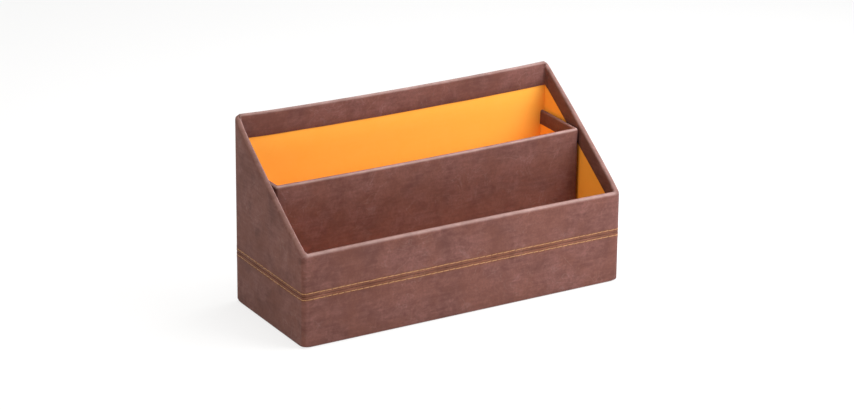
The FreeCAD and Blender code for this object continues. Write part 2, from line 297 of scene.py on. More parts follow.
@dataclass(frozen=True)
class WallPath:
    """Outer face of a wall in plan, passed anticlockwise, with rounded square corners."""

    corners: tuple[tuple[float, float], ...]
    closed: bool
    radius: float
    inner_radius: float = 0.35
    bend_steps: int = 6

    def pieces(self) -> list[tuple[Leg | Bend, float]]:
        """Legs and bends in order, each with its length along the outer face."""
        spots = [Vector(corner) for corner in self.corners]
        count = len(spots) if self.closed else len(spots) - 1
        legs = [
            Leg(
                spots[index],
                spots[(index + 1) % len(spots)],
                rounded_start=self.closed or index > 0,
                rounded_end=self.closed or index < count - 1,
            )
            for index in range(count)
        ]
        found: list[tuple[Leg | Bend, float]] = []
        for index, leg in enumerate(legs):
            rounded = leg.rounded_start + leg.rounded_end
            found.append((leg, (leg.end - leg.start).length - rounded * self.radius))
            if leg.rounded_end:
                following = legs[(index + 1) % count]
                bend = Bend(leg.end, leg.inward, following.inward)
                found.append((bend, self.radius * RIGHT_ANGLE))
        return found

    @property
    def length(self) -> float:
        """Length along the outer face."""
        return sum(length for _, length in self.pieces())

    def at(self, along: np.ndarray, inset: np.ndarray) -> tuple[np.ndarray, np.ndarray]:
        """Points in plan.

        Args:
            along: Distance along the outer face.
            inset: Distance inside the outer face.

        Returns:
            X and Y of each point.
        """
        along, inset = np.broadcast_arrays(np.asarray(along, float), np.asarray(inset, float))
        pieces = self.pieces()
        starts = np.cumsum([0.0] + [length for _, length in pieces])
        if self.closed:
            along = np.mod(along, starts[-1])
        which = np.clip(np.searchsorted(starts, along, side="right") - 1, 0, len(pieces) - 1)
        radius = np.maximum(self.radius - inset, self.inner_radius)
        x, y = np.empty(along.shape), np.empty(along.shape)
        for index, (piece, length) in enumerate(pieces):
            here = which == index
            share = (along[here] - starts[index]) / length
            x[here], y[here] = piece.place(share, inset[here], radius[here])
        return x, y

    def stations(self, spacing: float, extra: Sequence[float] = ()) -> np.ndarray:
        """Distances along the path at which a strip gets its columns.

        Args:
            spacing: Widest spacing on the legs.
            extra: Further distances that get a column of their own.

        Returns:
            Rising distances from 0 to the path's length.
        """
        found, start = [np.array(extra, float)], 0.0
        for piece, length in self.pieces():
            steps = math.ceil(length / spacing) if isinstance(piece, Leg) else self.bend_steps
            found.append(np.linspace(start, start + length, steps + 1))
            start += length
        return np.unique(np.round(np.concatenate(found), 6))


@dataclass(frozen=True)
class CaseSizes:
    """Sizes of the case, read from the frame or repeated from the CAD source."""

    half_width: float
    half_depth: float
    rear_top: float
    front_top: float
    seam: float
    bottom: float
    cover: float
    board: float
    lining: float
    seam_lift: float = 0.3
    corner_radius: float = 2.3
    rear_turn_in: float = 17.0
    side_turn_in: float = 11.5
    front_turn_in: float = 12.0
    turn_under: float = 15.0

    @classmethod
    def from_frame(cls) -> CaseSizes:
        """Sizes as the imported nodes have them."""
        upper_low, upper_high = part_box("upper_cover")
        lower_low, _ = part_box("lower_cover")
        front_low, front_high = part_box("front_board")
        paper_low, paper_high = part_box("front_lining")
        cover = front_low.y - upper_low.y
        return cls(
            half_width=upper_high.x / MM,
            half_depth=upper_high.y / MM,
            rear_top=upper_high.z / MM,
            front_top=(front_high.z + cover) / MM,
            seam=upper_low.z / MM + cls.seam_lift,
            bottom=lower_low.z / MM,
            cover=cover / MM,
            board=(front_high.y - front_low.y) / MM,
            lining=(paper_high.y - paper_low.y) / MM,
        )

    @property
    def rise(self) -> float:
        """Rise of the side rims per millimetre of depth."""
        return (self.rear_top - self.front_top) / (2 * self.half_depth)

    @property
    def lined(self) -> float:
        """Distance from the outer face to the face of the lining."""
        return self.cover + self.board + self.lining

    @property
    def wall(self) -> float:
        """Thickness of a wall at its turned-in edge."""
        return self.lined + self.cover

    def slope(self, y: np.ndarray) -> np.ndarray:
        """Height of the side rims at a depth."""
        return self.front_top + (y + self.half_depth) * self.rise

    def from_corner(self, x: np.ndarray, y: np.ndarray) -> np.ndarray:
        """Distance in plan from the nearest corner of the case."""
        return np.hypot(self.half_width - np.abs(x), self.half_depth - np.abs(y))

    def path(self) -> WallPath:
        """Outer face of the case in plan, from the front left corner."""
        across, deep = self.half_width, self.half_depth
        corners = ((-across, -deep), (across, -deep), (across, deep), (-across, deep))
        return WallPath(corners, closed=True, radius=self.corner_radius)


@dataclass(frozen=True)
class InsertSizes:
    """Sizes of the divider insert, read from the frame or repeated from the CAD source."""

    half_width: float
    front: float
    rear: float
    bottom: float
    top: float
    turn_in: float = 10.0

    @classmethod
    def from_frame(cls) -> InsertSizes:
        """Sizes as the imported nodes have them."""
        low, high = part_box("insert_cover")
        return cls(high.x / MM, low.y / MM, high.y / MM, low.z / MM, high.z / MM)

    def path(self, radius: float) -> WallPath:
        """Outer face of the insert in plan, from the rear end of its left return."""
        across = self.half_width
        corners = (
            (-across, self.rear),
            (-across, self.front),
            (across, self.front),
            (across, self.rear),
        )
        return WallPath(corners, closed=False, radius=radius)


@dataclass(frozen=True)
class Bow:
    """How far the glued boards have bowed, which every layer of a wall follows.

    Attributes:
        case: Sizes of the case.
        insert: Sizes of the divider insert.
        rear_forward: Forward bow of the rear rim's middle.
        front_inward: Inward bow of the front rim's middle.
        side_outward: Outward bow of the side rims.
        panel_forward: Forward bow of the insert's front rim.
        return_outward: Splay of the insert's returns.
        left_settle: How far the insert's left end has settled.
        right_reach: How far the insert's right end stands nearer to the wall.
        padding: How far the outer faces stand out.
        right_padding: The same of the right face.
        held_at_rear: Share of it that the rear corner holds back.
        held_at_rim: Share of it that the rim holds back.
        growth: How fast a bow grows with height.
        reach: Depth inside a wall over which its bow fades.
        full_at: Depth inside a wall's outer face from which its bow is full.
        held_ends: Width at each end of a wall that its neighbour holds straight.
        return_band: Width over which the insert's ends take up the returns' shift.
    """

    case: CaseSizes
    insert: InsertSizes
    rear_forward: float = 4.1
    front_inward: float = 1.3
    side_outward: float = 0.95
    panel_forward: float = 2.3
    return_outward: float = 0.9
    left_settle: float = 0.9
    right_reach: float = 1.0
    padding: float = 0.5
    right_padding: float = 1.3
    held_at_rear: float = 0.8
    held_at_rim: float = 0.3
    growth: float = 1.5
    reach: float = 16.0
    full_at: float = 4.0
    held_ends: float = 2.0
    return_band: float = 8.0

    def _padded(self, points: np.ndarray) -> tuple[np.ndarray, np.ndarray]:
        """Outward shift in X and Y of the outer face, where the layers of a wall lie loosest."""
        x, y, z = points.T
        case = self.case
        across = np.clip((np.abs(x) - case.half_width) / case.lined + 1.0, 0.0, 1.0)
        deep = np.clip((np.abs(y) - case.half_depth) / case.lined + 1.0, 0.0, 1.0)
        tall = np.clip(z / case.rear_top, 0.0, 1.0) ** 2 * smooth(0.0, case.half_depth, y)
        at_rim = np.clip(z / case.front_top, 0.0, 1.0)
        eased = (1.0 - self.held_at_rear * tall) * (1.0 - self.held_at_rim * at_rim)
        sideways = np.where(x > 0, self.right_padding * eased, self.padding)
        return np.sign(x) * sideways * across, np.sign(y) * self.padding * deep

    def _rear(self, points: np.ndarray) -> np.ndarray:
        """Forward shift of the rear wall and of what leans on it."""
        x, y, z = points.T
        case = self.case
        lean = np.clip(z / case.rear_top, 0, None) ** self.growth
        swollen = swell(x, case.half_width - self.held_ends)
        return self.rear_forward * swollen * lean * self._at_wall(case.half_depth, y)

    def _at_wall(self, half: float, value: np.ndarray) -> np.ndarray:
        """Smooth share that is 1 in the wall at a half size of the case and 0 well inside it."""
        return smooth(half - self.case.wall - self.reach, half - self.full_at, value)

    def bend_case(self, points: np.ndarray) -> np.ndarray:
        """Points of the case's walls, bowed.

        Args:
            points: One row each, in millimetres.

        Returns:
            The points where the bowed walls have them.
        """
        x, y, z = points.T
        case = self.case
        rim = case.slope(np.clip(y, -case.half_depth, case.half_depth))
        in_front = self._at_wall(case.half_depth, -y)
        at_side = self._at_wall(case.half_width, np.abs(x))
        front_lean = np.clip(z / case.front_top, 0, None) ** self.growth
        side_lean = np.clip(z / rim, 0, None) ** self.growth
        swollen = swell(x, case.half_width - self.held_ends)
        inward = self.front_inward * swollen * front_lean * in_front
        flare = 1.0 - np.clip(np.abs(y) / case.half_depth, 0.0, 1.0) ** 4
        outward = self.side_outward * flare * side_lean * at_side
        wider, deeper = self._padded(points)
        bent = points.copy()
        bent[:, 0] += np.sign(x) * outward + wider
        bent[:, 1] += inward - self._rear(points) + deeper
        return bent

    def bend_insert(self, points: np.ndarray) -> np.ndarray:
        """Points of the insert, with its panel bowed forward and its returns splayed.

        Args:
            points: One row each, in millimetres.

        Returns:
            The points where the bowed insert has them.
        """
        x, y, z = points.T
        insert = self.insert
        at_panel = 1.0 - smooth(insert.front + self.case.wall, insert.front + self.reach, y)
        lean = np.clip(z / insert.top, 0, None) ** self.growth
        swollen = swell(x, insert.half_width - self.held_ends)
        forward = self.panel_forward * swollen * lean * at_panel
        splay = self.return_outward * smooth(insert.front, insert.rear, y) * lean
        full = insert.half_width - self.full_at
        edge = smooth(full - self.return_band, full, np.abs(x))
        bent = points.copy()
        bent[:, 0] += np.sign(x) * splay * edge + self.right_reach * edge * (x > 0)
        bent[:, 1] -= forward + self._rear(points)
        bent[:, 2] -= self.left_settle * (0.5 - 0.5 * x / insert.half_width) * lean
        return bent


def level(height: float | np.ndarray) -> Callable:
    """Height function of a row that is the same at every point in plan."""
    return lambda x, y: height


@dataclass
class Strip:
    """Strip of leatherette, cut flat and draped along a wall path row by row.

    The rows run round the strip's own cross-section, from the fold over the outside, back along
    the hidden side and to the first row again, so that the draped strip is closed.
    """

    name: str
    path: WallPath
    stations: np.ndarray
    bend: Callable[[np.ndarray], np.ndarray]
    rows: list[np.ndarray] = field(default_factory=list)
    masks: dict[Mask, list[np.ndarray]] = field(default_factory=lambda: {mask: [] for mask in Mask})

    def row(self, inset: np.ndarray | float, height: Callable, **masks: float) -> None:
        """Add one row.

        Args:
            inset: Distance inside the outer face.
            height: Height above the table as a function of X and Y.
            **masks: Value of each mask along this row, by its lower-case name.
        """
        inset = np.broadcast_to(np.asarray(inset, float), self.stations.shape)
        x, y = self.path.at(self.closed_stations(), inset)
        z = np.broadcast_to(height(x, y), x.shape)
        self.rows.append(np.stack([x, y, z], axis=1))
        for mask in Mask:
            value = masks.get(mask.name.lower(), 0.0)
            self.masks[mask].append(np.broadcast_to(np.asarray(value, float), x.shape))

    def closed_stations(self) -> np.ndarray:
        """Stations, with the last one of a closed path at its start again."""
        stations = self.stations.copy()
        if self.path.closed:
            stations[-1] = 0.0
        return stations

    def drape(self) -> bpy.types.Object:
        """Cut the flat strip, lay it along the wall and join its edges.

        Returns:
            The closed mesh object.
        """
        rows = [*self.rows, self.rows[0]]
        columns = len(self.stations)
        bpy.ops.object.select_all(action="DESELECT")
        bpy.ops.mesh.primitive_grid_add(
            x_subdivisions=columns - 1, y_subdivisions=len(rows) - 1, size=1.0
        )
        piece = bpy.context.object
        piece.name = piece.data.name = self.name
        self._lay_out_pattern(piece, columns, rows)
        place_points(piece, self.bend(np.concatenate(rows)))
        for mask, values in self.masks.items():
            write_mask(piece, mask, np.concatenate([*values, values[0]]))
        with editing(piece):
            bpy.ops.mesh.remove_doubles(threshold=MERGE_DISTANCE)
            if not self.path.closed:
                bpy.ops.mesh.fill_holes(sides=0)
            bpy.ops.mesh.select_all(action="SELECT")
            bpy.ops.mesh.normals_make_consistent(inside=False)
        bpy.ops.object.shade_smooth_by_angle(angle=SMOOTH_ANGLE)
        return piece

    def _lay_out_pattern(
        self, piece: bpy.types.Object, columns: int, rows: Sequence[np.ndarray]
    ) -> None:
        """Give the strip the UV map of the flat leatherette, in metres."""
        steps = [np.linalg.norm(after - before, axis=1) for before, after in zip(rows, rows[1:])]
        across = np.concatenate([[np.zeros(columns)], np.cumsum(steps, axis=0)])
        along = np.broadcast_to(self.stations, across.shape)
        corner_vertex = np.empty(len(piece.data.loops), int)
        piece.data.loops.foreach_get("vertex_index", corner_vertex)
        flat = np.stack([along.ravel(), across.ravel()], axis=1)[corner_vertex] * MM
        piece.data.uv_layers.active.data.foreach_set("uv", flat.ravel())


@dataclass(frozen=True)
class Stitching:
    """Twin rows of topstitching, sewn in the flat.

    Attributes:
        offset: Distance of each row from the seam.
        pitch_wanted: Spacing of the stitches before the row is closed.
        phase: Where the first stitch has its middle, from the middle of the front.
        thread: Thickness of the thread.
        visible: Length of a stitch between its needle holes.
        tilt: Slope of a stitch against its row.
        dip: How much deeper the leatherette is pulled in at the needle holes.
        groove: How deep the thread pulls the leatherette in.
    """

    offset: float = 2.2
    pitch_wanted: float = 4.78
    phase: float = -0.48
    thread: float = 0.50
    visible: float = 4.62
    tilt: float = 0.035
    dip: float = 0.14
    groove: float = 0.12

    def count(self, path: WallPath) -> int:
        """Stitches in one row round a closed path."""
        return round(path.length / self.pitch_wanted)

    def pitch(self, path: WallPath) -> float:
        """Spacing that closes the row without a gap."""
        return path.length / self.count(path)

    def pull(self, along: np.ndarray, path: WallPath) -> np.ndarray:
        """How far the thread pulls the leatherette in, deepest at the needle holes.

        Args:
            along: Distances along the outer face.
            path: Path that the row follows.

        Returns:
            Inset at each distance.
        """
        turn = 2 * np.pi * (along - self.first(path)) / self.pitch(path)
        at_hole = (0.5 - 0.5 * np.cos(turn)) ** 2
        return self.groove + self.dip * at_hole

    def first(self, path: WallPath) -> float:
        """Distance along the path at which a stitch has its middle."""
        front_middle = path.pieces()[0][1] / 2
        return front_middle + self.phase


@dataclass
class CaseLeather:
    """Upper and lower leatherette strips of the case, with their sewn seam.

    Attributes:
        sizes: Sizes of the case.
        bow: Bow of its walls.
        stitching: The seam's stitching.
        outer_radius: Rounding of the rim outside.
        inner_radius: Rounding of the rim inside.
        bottom_radius: Rounding of the bottom edge.
        bottom_corner_rise: How far the front and the rear bottom corners are drawn up.
        bottom_corner_reach: How far from a corner that fades.
        spacing: Widest spacing of the strips' columns.
        flap: Width of the flaps of the front and rear turn-in that lap onto the side walls'.
        flap_lift: How far a flap stands off the wall.
        flap_edge: Half the width of a flap's free edge.
        wobble: How far the hand-cut edges wander.
        waves: Waves of that wander round the case.
        mitre: Width over which the rim's height passes from one wall's to the next.
        mitre_gap: Distance from the side walls' inner face at which the rear rim's height starts.
        crown: How far the rim's crown swells.
        corner_sag: How far the rim sinks at its corners.
        corner_sag_reach: How far from a corner that fades.
        rear_rise: Rise of the rear rim.
        rear_rise_reach: Depth over which the side rims take that rise up.
        rear_corner_rise: Further rise of the left and the right rear corner.
        rear_corner_reach: How far from a corner that fades.
        wall_band: Depths inside the outer face between which a wall's own wear sets in.
        less_highlight_and_wear_inside: Share of the rim's painted highlight and wear on its inner
            side that the front and the side rims lack.
        less_highlight_and_wear_outside: Share of the rim's painted highlight and wear on its outer
            side that the side and the rear rims lack.
        seam_highlight_share: Distances from the seam, and the strength there of the painted highlight
            that makes the leatherette lighter and warmer.
        crease_shade_share: Distances from the seam, and how much of the dark core colour is painted
            there as shade in the crease.
        groove_pull: Share of the thread's pull beside the middle of the groove.
        seam_shape: Inset and distance from the seam of each row of the sewn edge.
        groove_rows: Rows of seam_shape that are the stitch groove.
        body_shares: Rows of the upper strip's body.
        lower_shares: Rows of the lower strip's body.
        under_shares: Rows of the part that is turned under the base.
        turn_in_shares: Rows of the turn-in.
        bottom_wear: Wear of the bottom edge.
        outer_rows: Rows of a rounding outside.
        inner_rows: Rows of a rounding inside and of the bottom edge.
        seam_margins: Rows of the hidden side next to the seam.
        bottom_margins: Rows of the hidden side up the wall and in under the base.
        names: Names of the upper and the lower strip.
    """

    sizes: CaseSizes
    bow: Bow
    stitching: Stitching
    outer_radius: float = 2.0
    inner_radius: float = 1.4
    bottom_radius: float = 0.6
    bottom_corner_rise: tuple[float, float] = (0.7, 1.6)
    bottom_corner_reach: float = 3.2
    spacing: float = 0.8
    flap: float = 2.9
    flap_lift: float = 0.25
    flap_edge: float = 0.05
    wobble: float = 0.07
    waves: tuple[int, ...] = (3, 7, 11, 18)
    mitre: float = 0.7
    mitre_gap: float = 0.1
    crown: float = 0.35
    corner_sag: float = 0.25
    corner_sag_reach: float = 3.2
    rear_rise: float = 0.42
    rear_rise_reach: float = 10.0
    rear_corner_rise: tuple[float, float] = (0.55, 0.15)
    rear_corner_reach: float = 14.0
    wall_band: tuple[float, float] = (4.0, 1.6)
    less_highlight_and_wear_inside: tuple[float, float] = (0.7, 0.45)
    less_highlight_and_wear_outside: tuple[float, float] = (0.6, 0.75)
    seam_highlight_share: tuple[tuple[float, ...], tuple[float, ...]] = (
        (0.0, 0.5, 2.4, 3.6),
        (0.4, 0.7, 0.6, 0.0),
    )
    crease_shade_share: tuple[tuple[float, ...], tuple[float, ...]] = ((0.0, 0.3), (0.4, 0.0))
    groove_pull: float = 0.45
    seam_shape: tuple[tuple[float, float], ...] = (
        (0.48, 0.0),
        (0.26, 0.08),
        (0.08, 0.20),
        (-0.03, 0.40),
        (-0.09, 0.80),
        (-0.11, 1.30),
        (-0.08, 1.70),
        (0.02, 2.02),
        (0.04, 2.20),
        (0.02, 2.38),
        (-0.07, 2.72),
        (-0.10, 3.30),
        (-0.08, 4.10),
        (-0.03, 5.00),
        (0.0, 5.80),
    )
    groove_rows: tuple[int, ...] = (7, 8, 9)
    body_shares: tuple[float, ...] = (0.10, 0.27, 0.45, 0.63, 0.80, 0.93)
    lower_shares: tuple[float, ...] = (0.12, 0.35, 0.6, 0.85)
    under_shares: tuple[float, ...] = (0.66, 0.33, 0.14)
    turn_in_shares: tuple[float, float] = (0.35, 0.72)
    bottom_wear: float = 0.6
    outer_rows: int = 6
    inner_rows: int = 5
    seam_margins: tuple[float, float] = (0.3, 0.02)
    bottom_margins: tuple[float, float] = (4.0, 2.0)
    names: tuple[str, str] = ("upper_leatherette", "lower_leatherette")

    def rim(self, x: np.ndarray, y: np.ndarray) -> tuple[np.ndarray, np.ndarray, np.ndarray]:
        """Rim over a point of the walls.

        Args:
            x: X of the points.
            y: Y of the points.

        Returns:
            Rim height, stretch of what is measured square to the rim, and turn-in depth.
        """
        sizes, mitre = self.sizes, self.mitre
        inner, deep = sizes.half_width - sizes.wall, sizes.half_depth - sizes.wall
        front = (1 - smooth(inner - mitre, inner, np.abs(x))) * (y < 0)
        behind = smooth(deep - mitre, deep, y)
        gap = self.mitre_gap
        rear = (1 - smooth(inner + gap, inner + gap + mitre, np.abs(x))) * behind
        side = 1 - front - rear
        stretch = side * math.hypot(1, sizes.rise) + front + rear
        height = sizes.slope(y) * side + sizes.front_top * front + sizes.rear_top * rear
        apart = sizes.from_corner(x, y)
        height = height - self.corner_sag * np.exp(-((apart / self.corner_sag_reach) ** 2))
        height = height + self.rear_rise * smooth(deep - self.rear_rise_reach, deep, y)
        corner_rise = np.where(x < 0, *self.rear_corner_rise)
        near_rear_corner = np.exp(-((apart / self.rear_corner_reach) ** 2)) * (y > 0)
        height = height + corner_rise * near_rear_corner
        turn_in = sizes.side_turn_in * side + sizes.front_turn_in * front + sizes.rear_turn_in * rear
        return height, stretch, turn_in

    def build(self) -> list[bpy.types.Object]:
        """Make both strips.

        Returns:
            The upper and the lower strip.
        """
        upper, lower = self._upper(), self._lower()
        hand_over(upper, Slot.LEATHERETTE, ["upper_cover"])
        hand_over(lower, Slot.LEATHERETTE, ["lower_cover"])
        return [upper, lower]

    def _seam(self, strip: Strip, side: int, rows: Sequence[int]) -> None:
        """Rows of the rolled seam edge, the ridge over its allowance and the stitch groove."""
        pull = self.stitching.pull(strip.stations, strip.path)
        for index in rows:
            inset, distance = self.seam_shape[index]
            if index in self.groove_rows:
                share = 1.0 if index == self.groove_rows[1] else self.groove_pull
                inset = inset + share * pull
            height = self.sizes.seam + side * distance
            # Painted highlight by the seam, lighter and warmer, through the fold mask.
            fold = float(np.interp(distance, *self.seam_highlight_share))
            # Painted shade in the seam's crease, in the dark core colour.
            cut = float(np.interp(distance, *self.crease_shade_share))
            strip.row(inset, level(height), fold=fold, cut=cut)

    def _at_wall(self, half: float, value: np.ndarray) -> np.ndarray:
        """Smooth share that is 1 in the rim of the wall at a half size of the case, else 0."""
        start, full = self.wall_band
        return smooth(half - start, half - full, value)

    def _edge_wander(self, along: np.ndarray, path: WallPath, seed: int) -> np.ndarray:
        """Slight wander of a hand-cut edge, the same where a closed path meets itself."""
        random = np.random.default_rng(seed)
        turns = 2 * np.pi * along / path.length
        total = sum(np.sin(wave * turns + random.uniform(0, PHASE_RANGE)) for wave in self.waves)
        return self.wobble * total / len(self.waves) ** 0.5

    def _flap_stations(self, path: WallPath) -> tuple[list[float], np.ndarray]:
        """Columns at the free edges of the folded corner flaps, and where the flaps lie."""
        front, bend, side = (length for _, length in path.pieces()[:3])
        inner = side - 2 * (self.sizes.wall + path.inner_radius - path.radius)
        reach = self.flap * side / inner
        right, left = front + bend, 2 * front + 3 * bend + side
        edges = [start + offset for start in (right, left) for offset in (reach, side - reach)]
        columns = [edge + nudge for edge in edges for nudge in (-self.flap_edge, self.flap_edge)]
        return columns, np.array(edges)

    def _flap(self, stations: np.ndarray, path: WallPath) -> np.ndarray:
        """1 where a front or rear turn-in laps onto the side wall's, else 0."""
        _, edges = self._flap_stations(path)
        front, bend, side = (length for _, length in path.pieces()[:3])
        spans = (
            (front + 0.5 * bend, edges[0]),
            (edges[1], front + side + 1.5 * bend),
            (2 * front + side + 2.5 * bend, edges[2]),
            (edges[3], path.length - 0.5 * bend),
        )
        return np.any([(stations > low) & (stations < high) for low, high in spans], axis=0) * 1.0

    def _upper(self) -> bpy.types.Object:
        """Strip above the seam, over the rims and turned in."""
        sizes, path = self.sizes, self.sizes.path()
        stations = path.stations(self.spacing, self._flap_stations(path)[0])
        strip = Strip(self.names[0], path, stations, self.bow.bend_case)
        outer, inner, wall = self.outer_radius, self.inner_radius, sizes.wall
        lap = self._flap(strip.closed_stations(), path) * self.flap_lift
        wander = self._edge_wander(strip.closed_stations(), path, seed=3)
        x, y = path.at(strip.closed_stations(), wall / 2)
        at_front = self._at_wall(sizes.half_depth, -y)
        at_side = self._at_wall(sizes.half_width, np.abs(x))
        at_rear = self._at_wall(sizes.half_depth, y)
        # Shares of the rim mask, a painted highlight with some real wear, that each rim keeps inside
        # and outside.
        front_share, side_share = self.less_highlight_and_wear_inside
        inside = 1.0 - np.maximum(front_share * at_front, side_share * at_side * (1.0 - at_rear))
        side_share, rear_share = self.less_highlight_and_wear_outside
        outside = 1.0 - np.maximum(side_share * at_side, rear_share * at_rear)

        def rim_drop(
            drop: float, share_of_turn_in: float = 0.0, extra: float | np.ndarray = 0.0
        ) -> Callable:
            """Height function at a drop square to the rim."""

            def height(x: np.ndarray, y: np.ndarray) -> np.ndarray:
                """Height over a point of the walls."""
                top, stretch, turn_in = self.rim(x, y)
                return top - (drop + share_of_turn_in * turn_in + extra) * stretch

            return height

        low = sizes.seam + self.seam_shape[-1][1]

        def body(share: float) -> Callable:
            """Height function at a share of the way from the seam to the rim's rounding."""
            return lambda x, y: low + share * (rim_drop(outer)(x, y) - low)

        self._seam(strip, 1, range(len(self.seam_shape)))
        for share in self.body_shares:
            strip.row(0.0, body(share))
        # Rim mask on the rounding: painted highlight on the lit shoulder, with some real wear.
        for inset, drop, stretched in arc(outer, self.outer_rows):
            wear_and_highlight = outside * shoulder(stretched)
            strip.row(inset, rim_drop(drop - self.crown * stretched), rim=wear_and_highlight)
        for inset, drop, stretched in reversed(arc(inner, self.inner_rows)):
            lapped = wall - inset + lap * (1 - stretched)
            wear_and_highlight = inside * stretched**0.5
            strip.row(lapped, rim_drop(drop - self.crown * stretched), rim=wear_and_highlight)
        upper_share, lower_share = self.turn_in_shares
        strip.row(wall + lap, rim_drop(inner, upper_share))
        strip.row(wall + lap, rim_drop(0.0, lower_share))
        for back, lifted, above, cut in CUT_EDGE:
            strip.row(wall - back + lifted * lap, rim_drop(-above, 1.0, wander), cut=cut)
        strip.row(sizes.lined, rim_drop(0.0, 1.0, wander), cut=1.0)
        strip.row(sizes.lined, rim_drop(0.0, 0.5))
        strip.row(sizes.lined, rim_drop(sizes.cover))
        strip.row(sizes.cover, rim_drop(sizes.cover))
        for share in reversed(self.body_shares[::2]):
            strip.row(sizes.cover, body(share))
        strip.row(sizes.cover, level(low))
        for margin in self.seam_margins:
            strip.row(sizes.cover, level(sizes.seam + margin))
        return strip.drape()

    def _lower(self) -> bpy.types.Object:
        """Strip below the seam, turned under the base."""
        sizes, path = self.sizes, self.sizes.path()
        strip = Strip(self.names[1], path, path.stations(self.spacing), self.bow.bend_case)
        radius, cover = self.bottom_radius, sizes.cover
        wander = self._edge_wander(strip.closed_stations(), path, seed=8)
        under = sizes.turn_under

        def grounded(height: float) -> Callable:
            """Height function over the ground, drawn up at the case's corners."""

            def drawn_up(x: np.ndarray, y: np.ndarray) -> np.ndarray:
                """Height over a point of the ground."""
                drawn = np.exp(-((sizes.from_corner(x, y) / self.bottom_corner_reach) ** 2))
                return sizes.bottom + height + np.where(y < 0, *self.bottom_corner_rise) * drawn

            return drawn_up

        last = len(self.seam_shape) - 1
        inner_top = sizes.seam - self.seam_shape[last][1]
        margin_up, margin_in = self.bottom_margins
        for margin in reversed(self.seam_margins):
            strip.row(cover, level(sizes.seam - margin))
        strip.row(cover, level(inner_top))
        strip.row(cover, level(sizes.bottom + radius + margin_up))
        strip.row(cover, grounded(cover))
        strip.row(radius + margin_in, grounded(cover))
        strip.row(under + wander, grounded(cover), cut=1.0)
        strip.row(under + wander, grounded(0.0), cut=1.0)
        for share in self.under_shares:
            strip.row(radius + share * (under - radius), grounded(0.0))
        for inset, rise, stretched in reversed(arc(radius, self.inner_rows)):
            strip.row(inset, grounded(rise), rim=self.bottom_wear * stretched)
        low = sizes.bottom + radius
        for share in self.lower_shares:
            strip.row(0.0, level(low + share * (inner_top - low)))
        self._seam(strip, -1, range(last, -1, -1))
        return strip.drape()


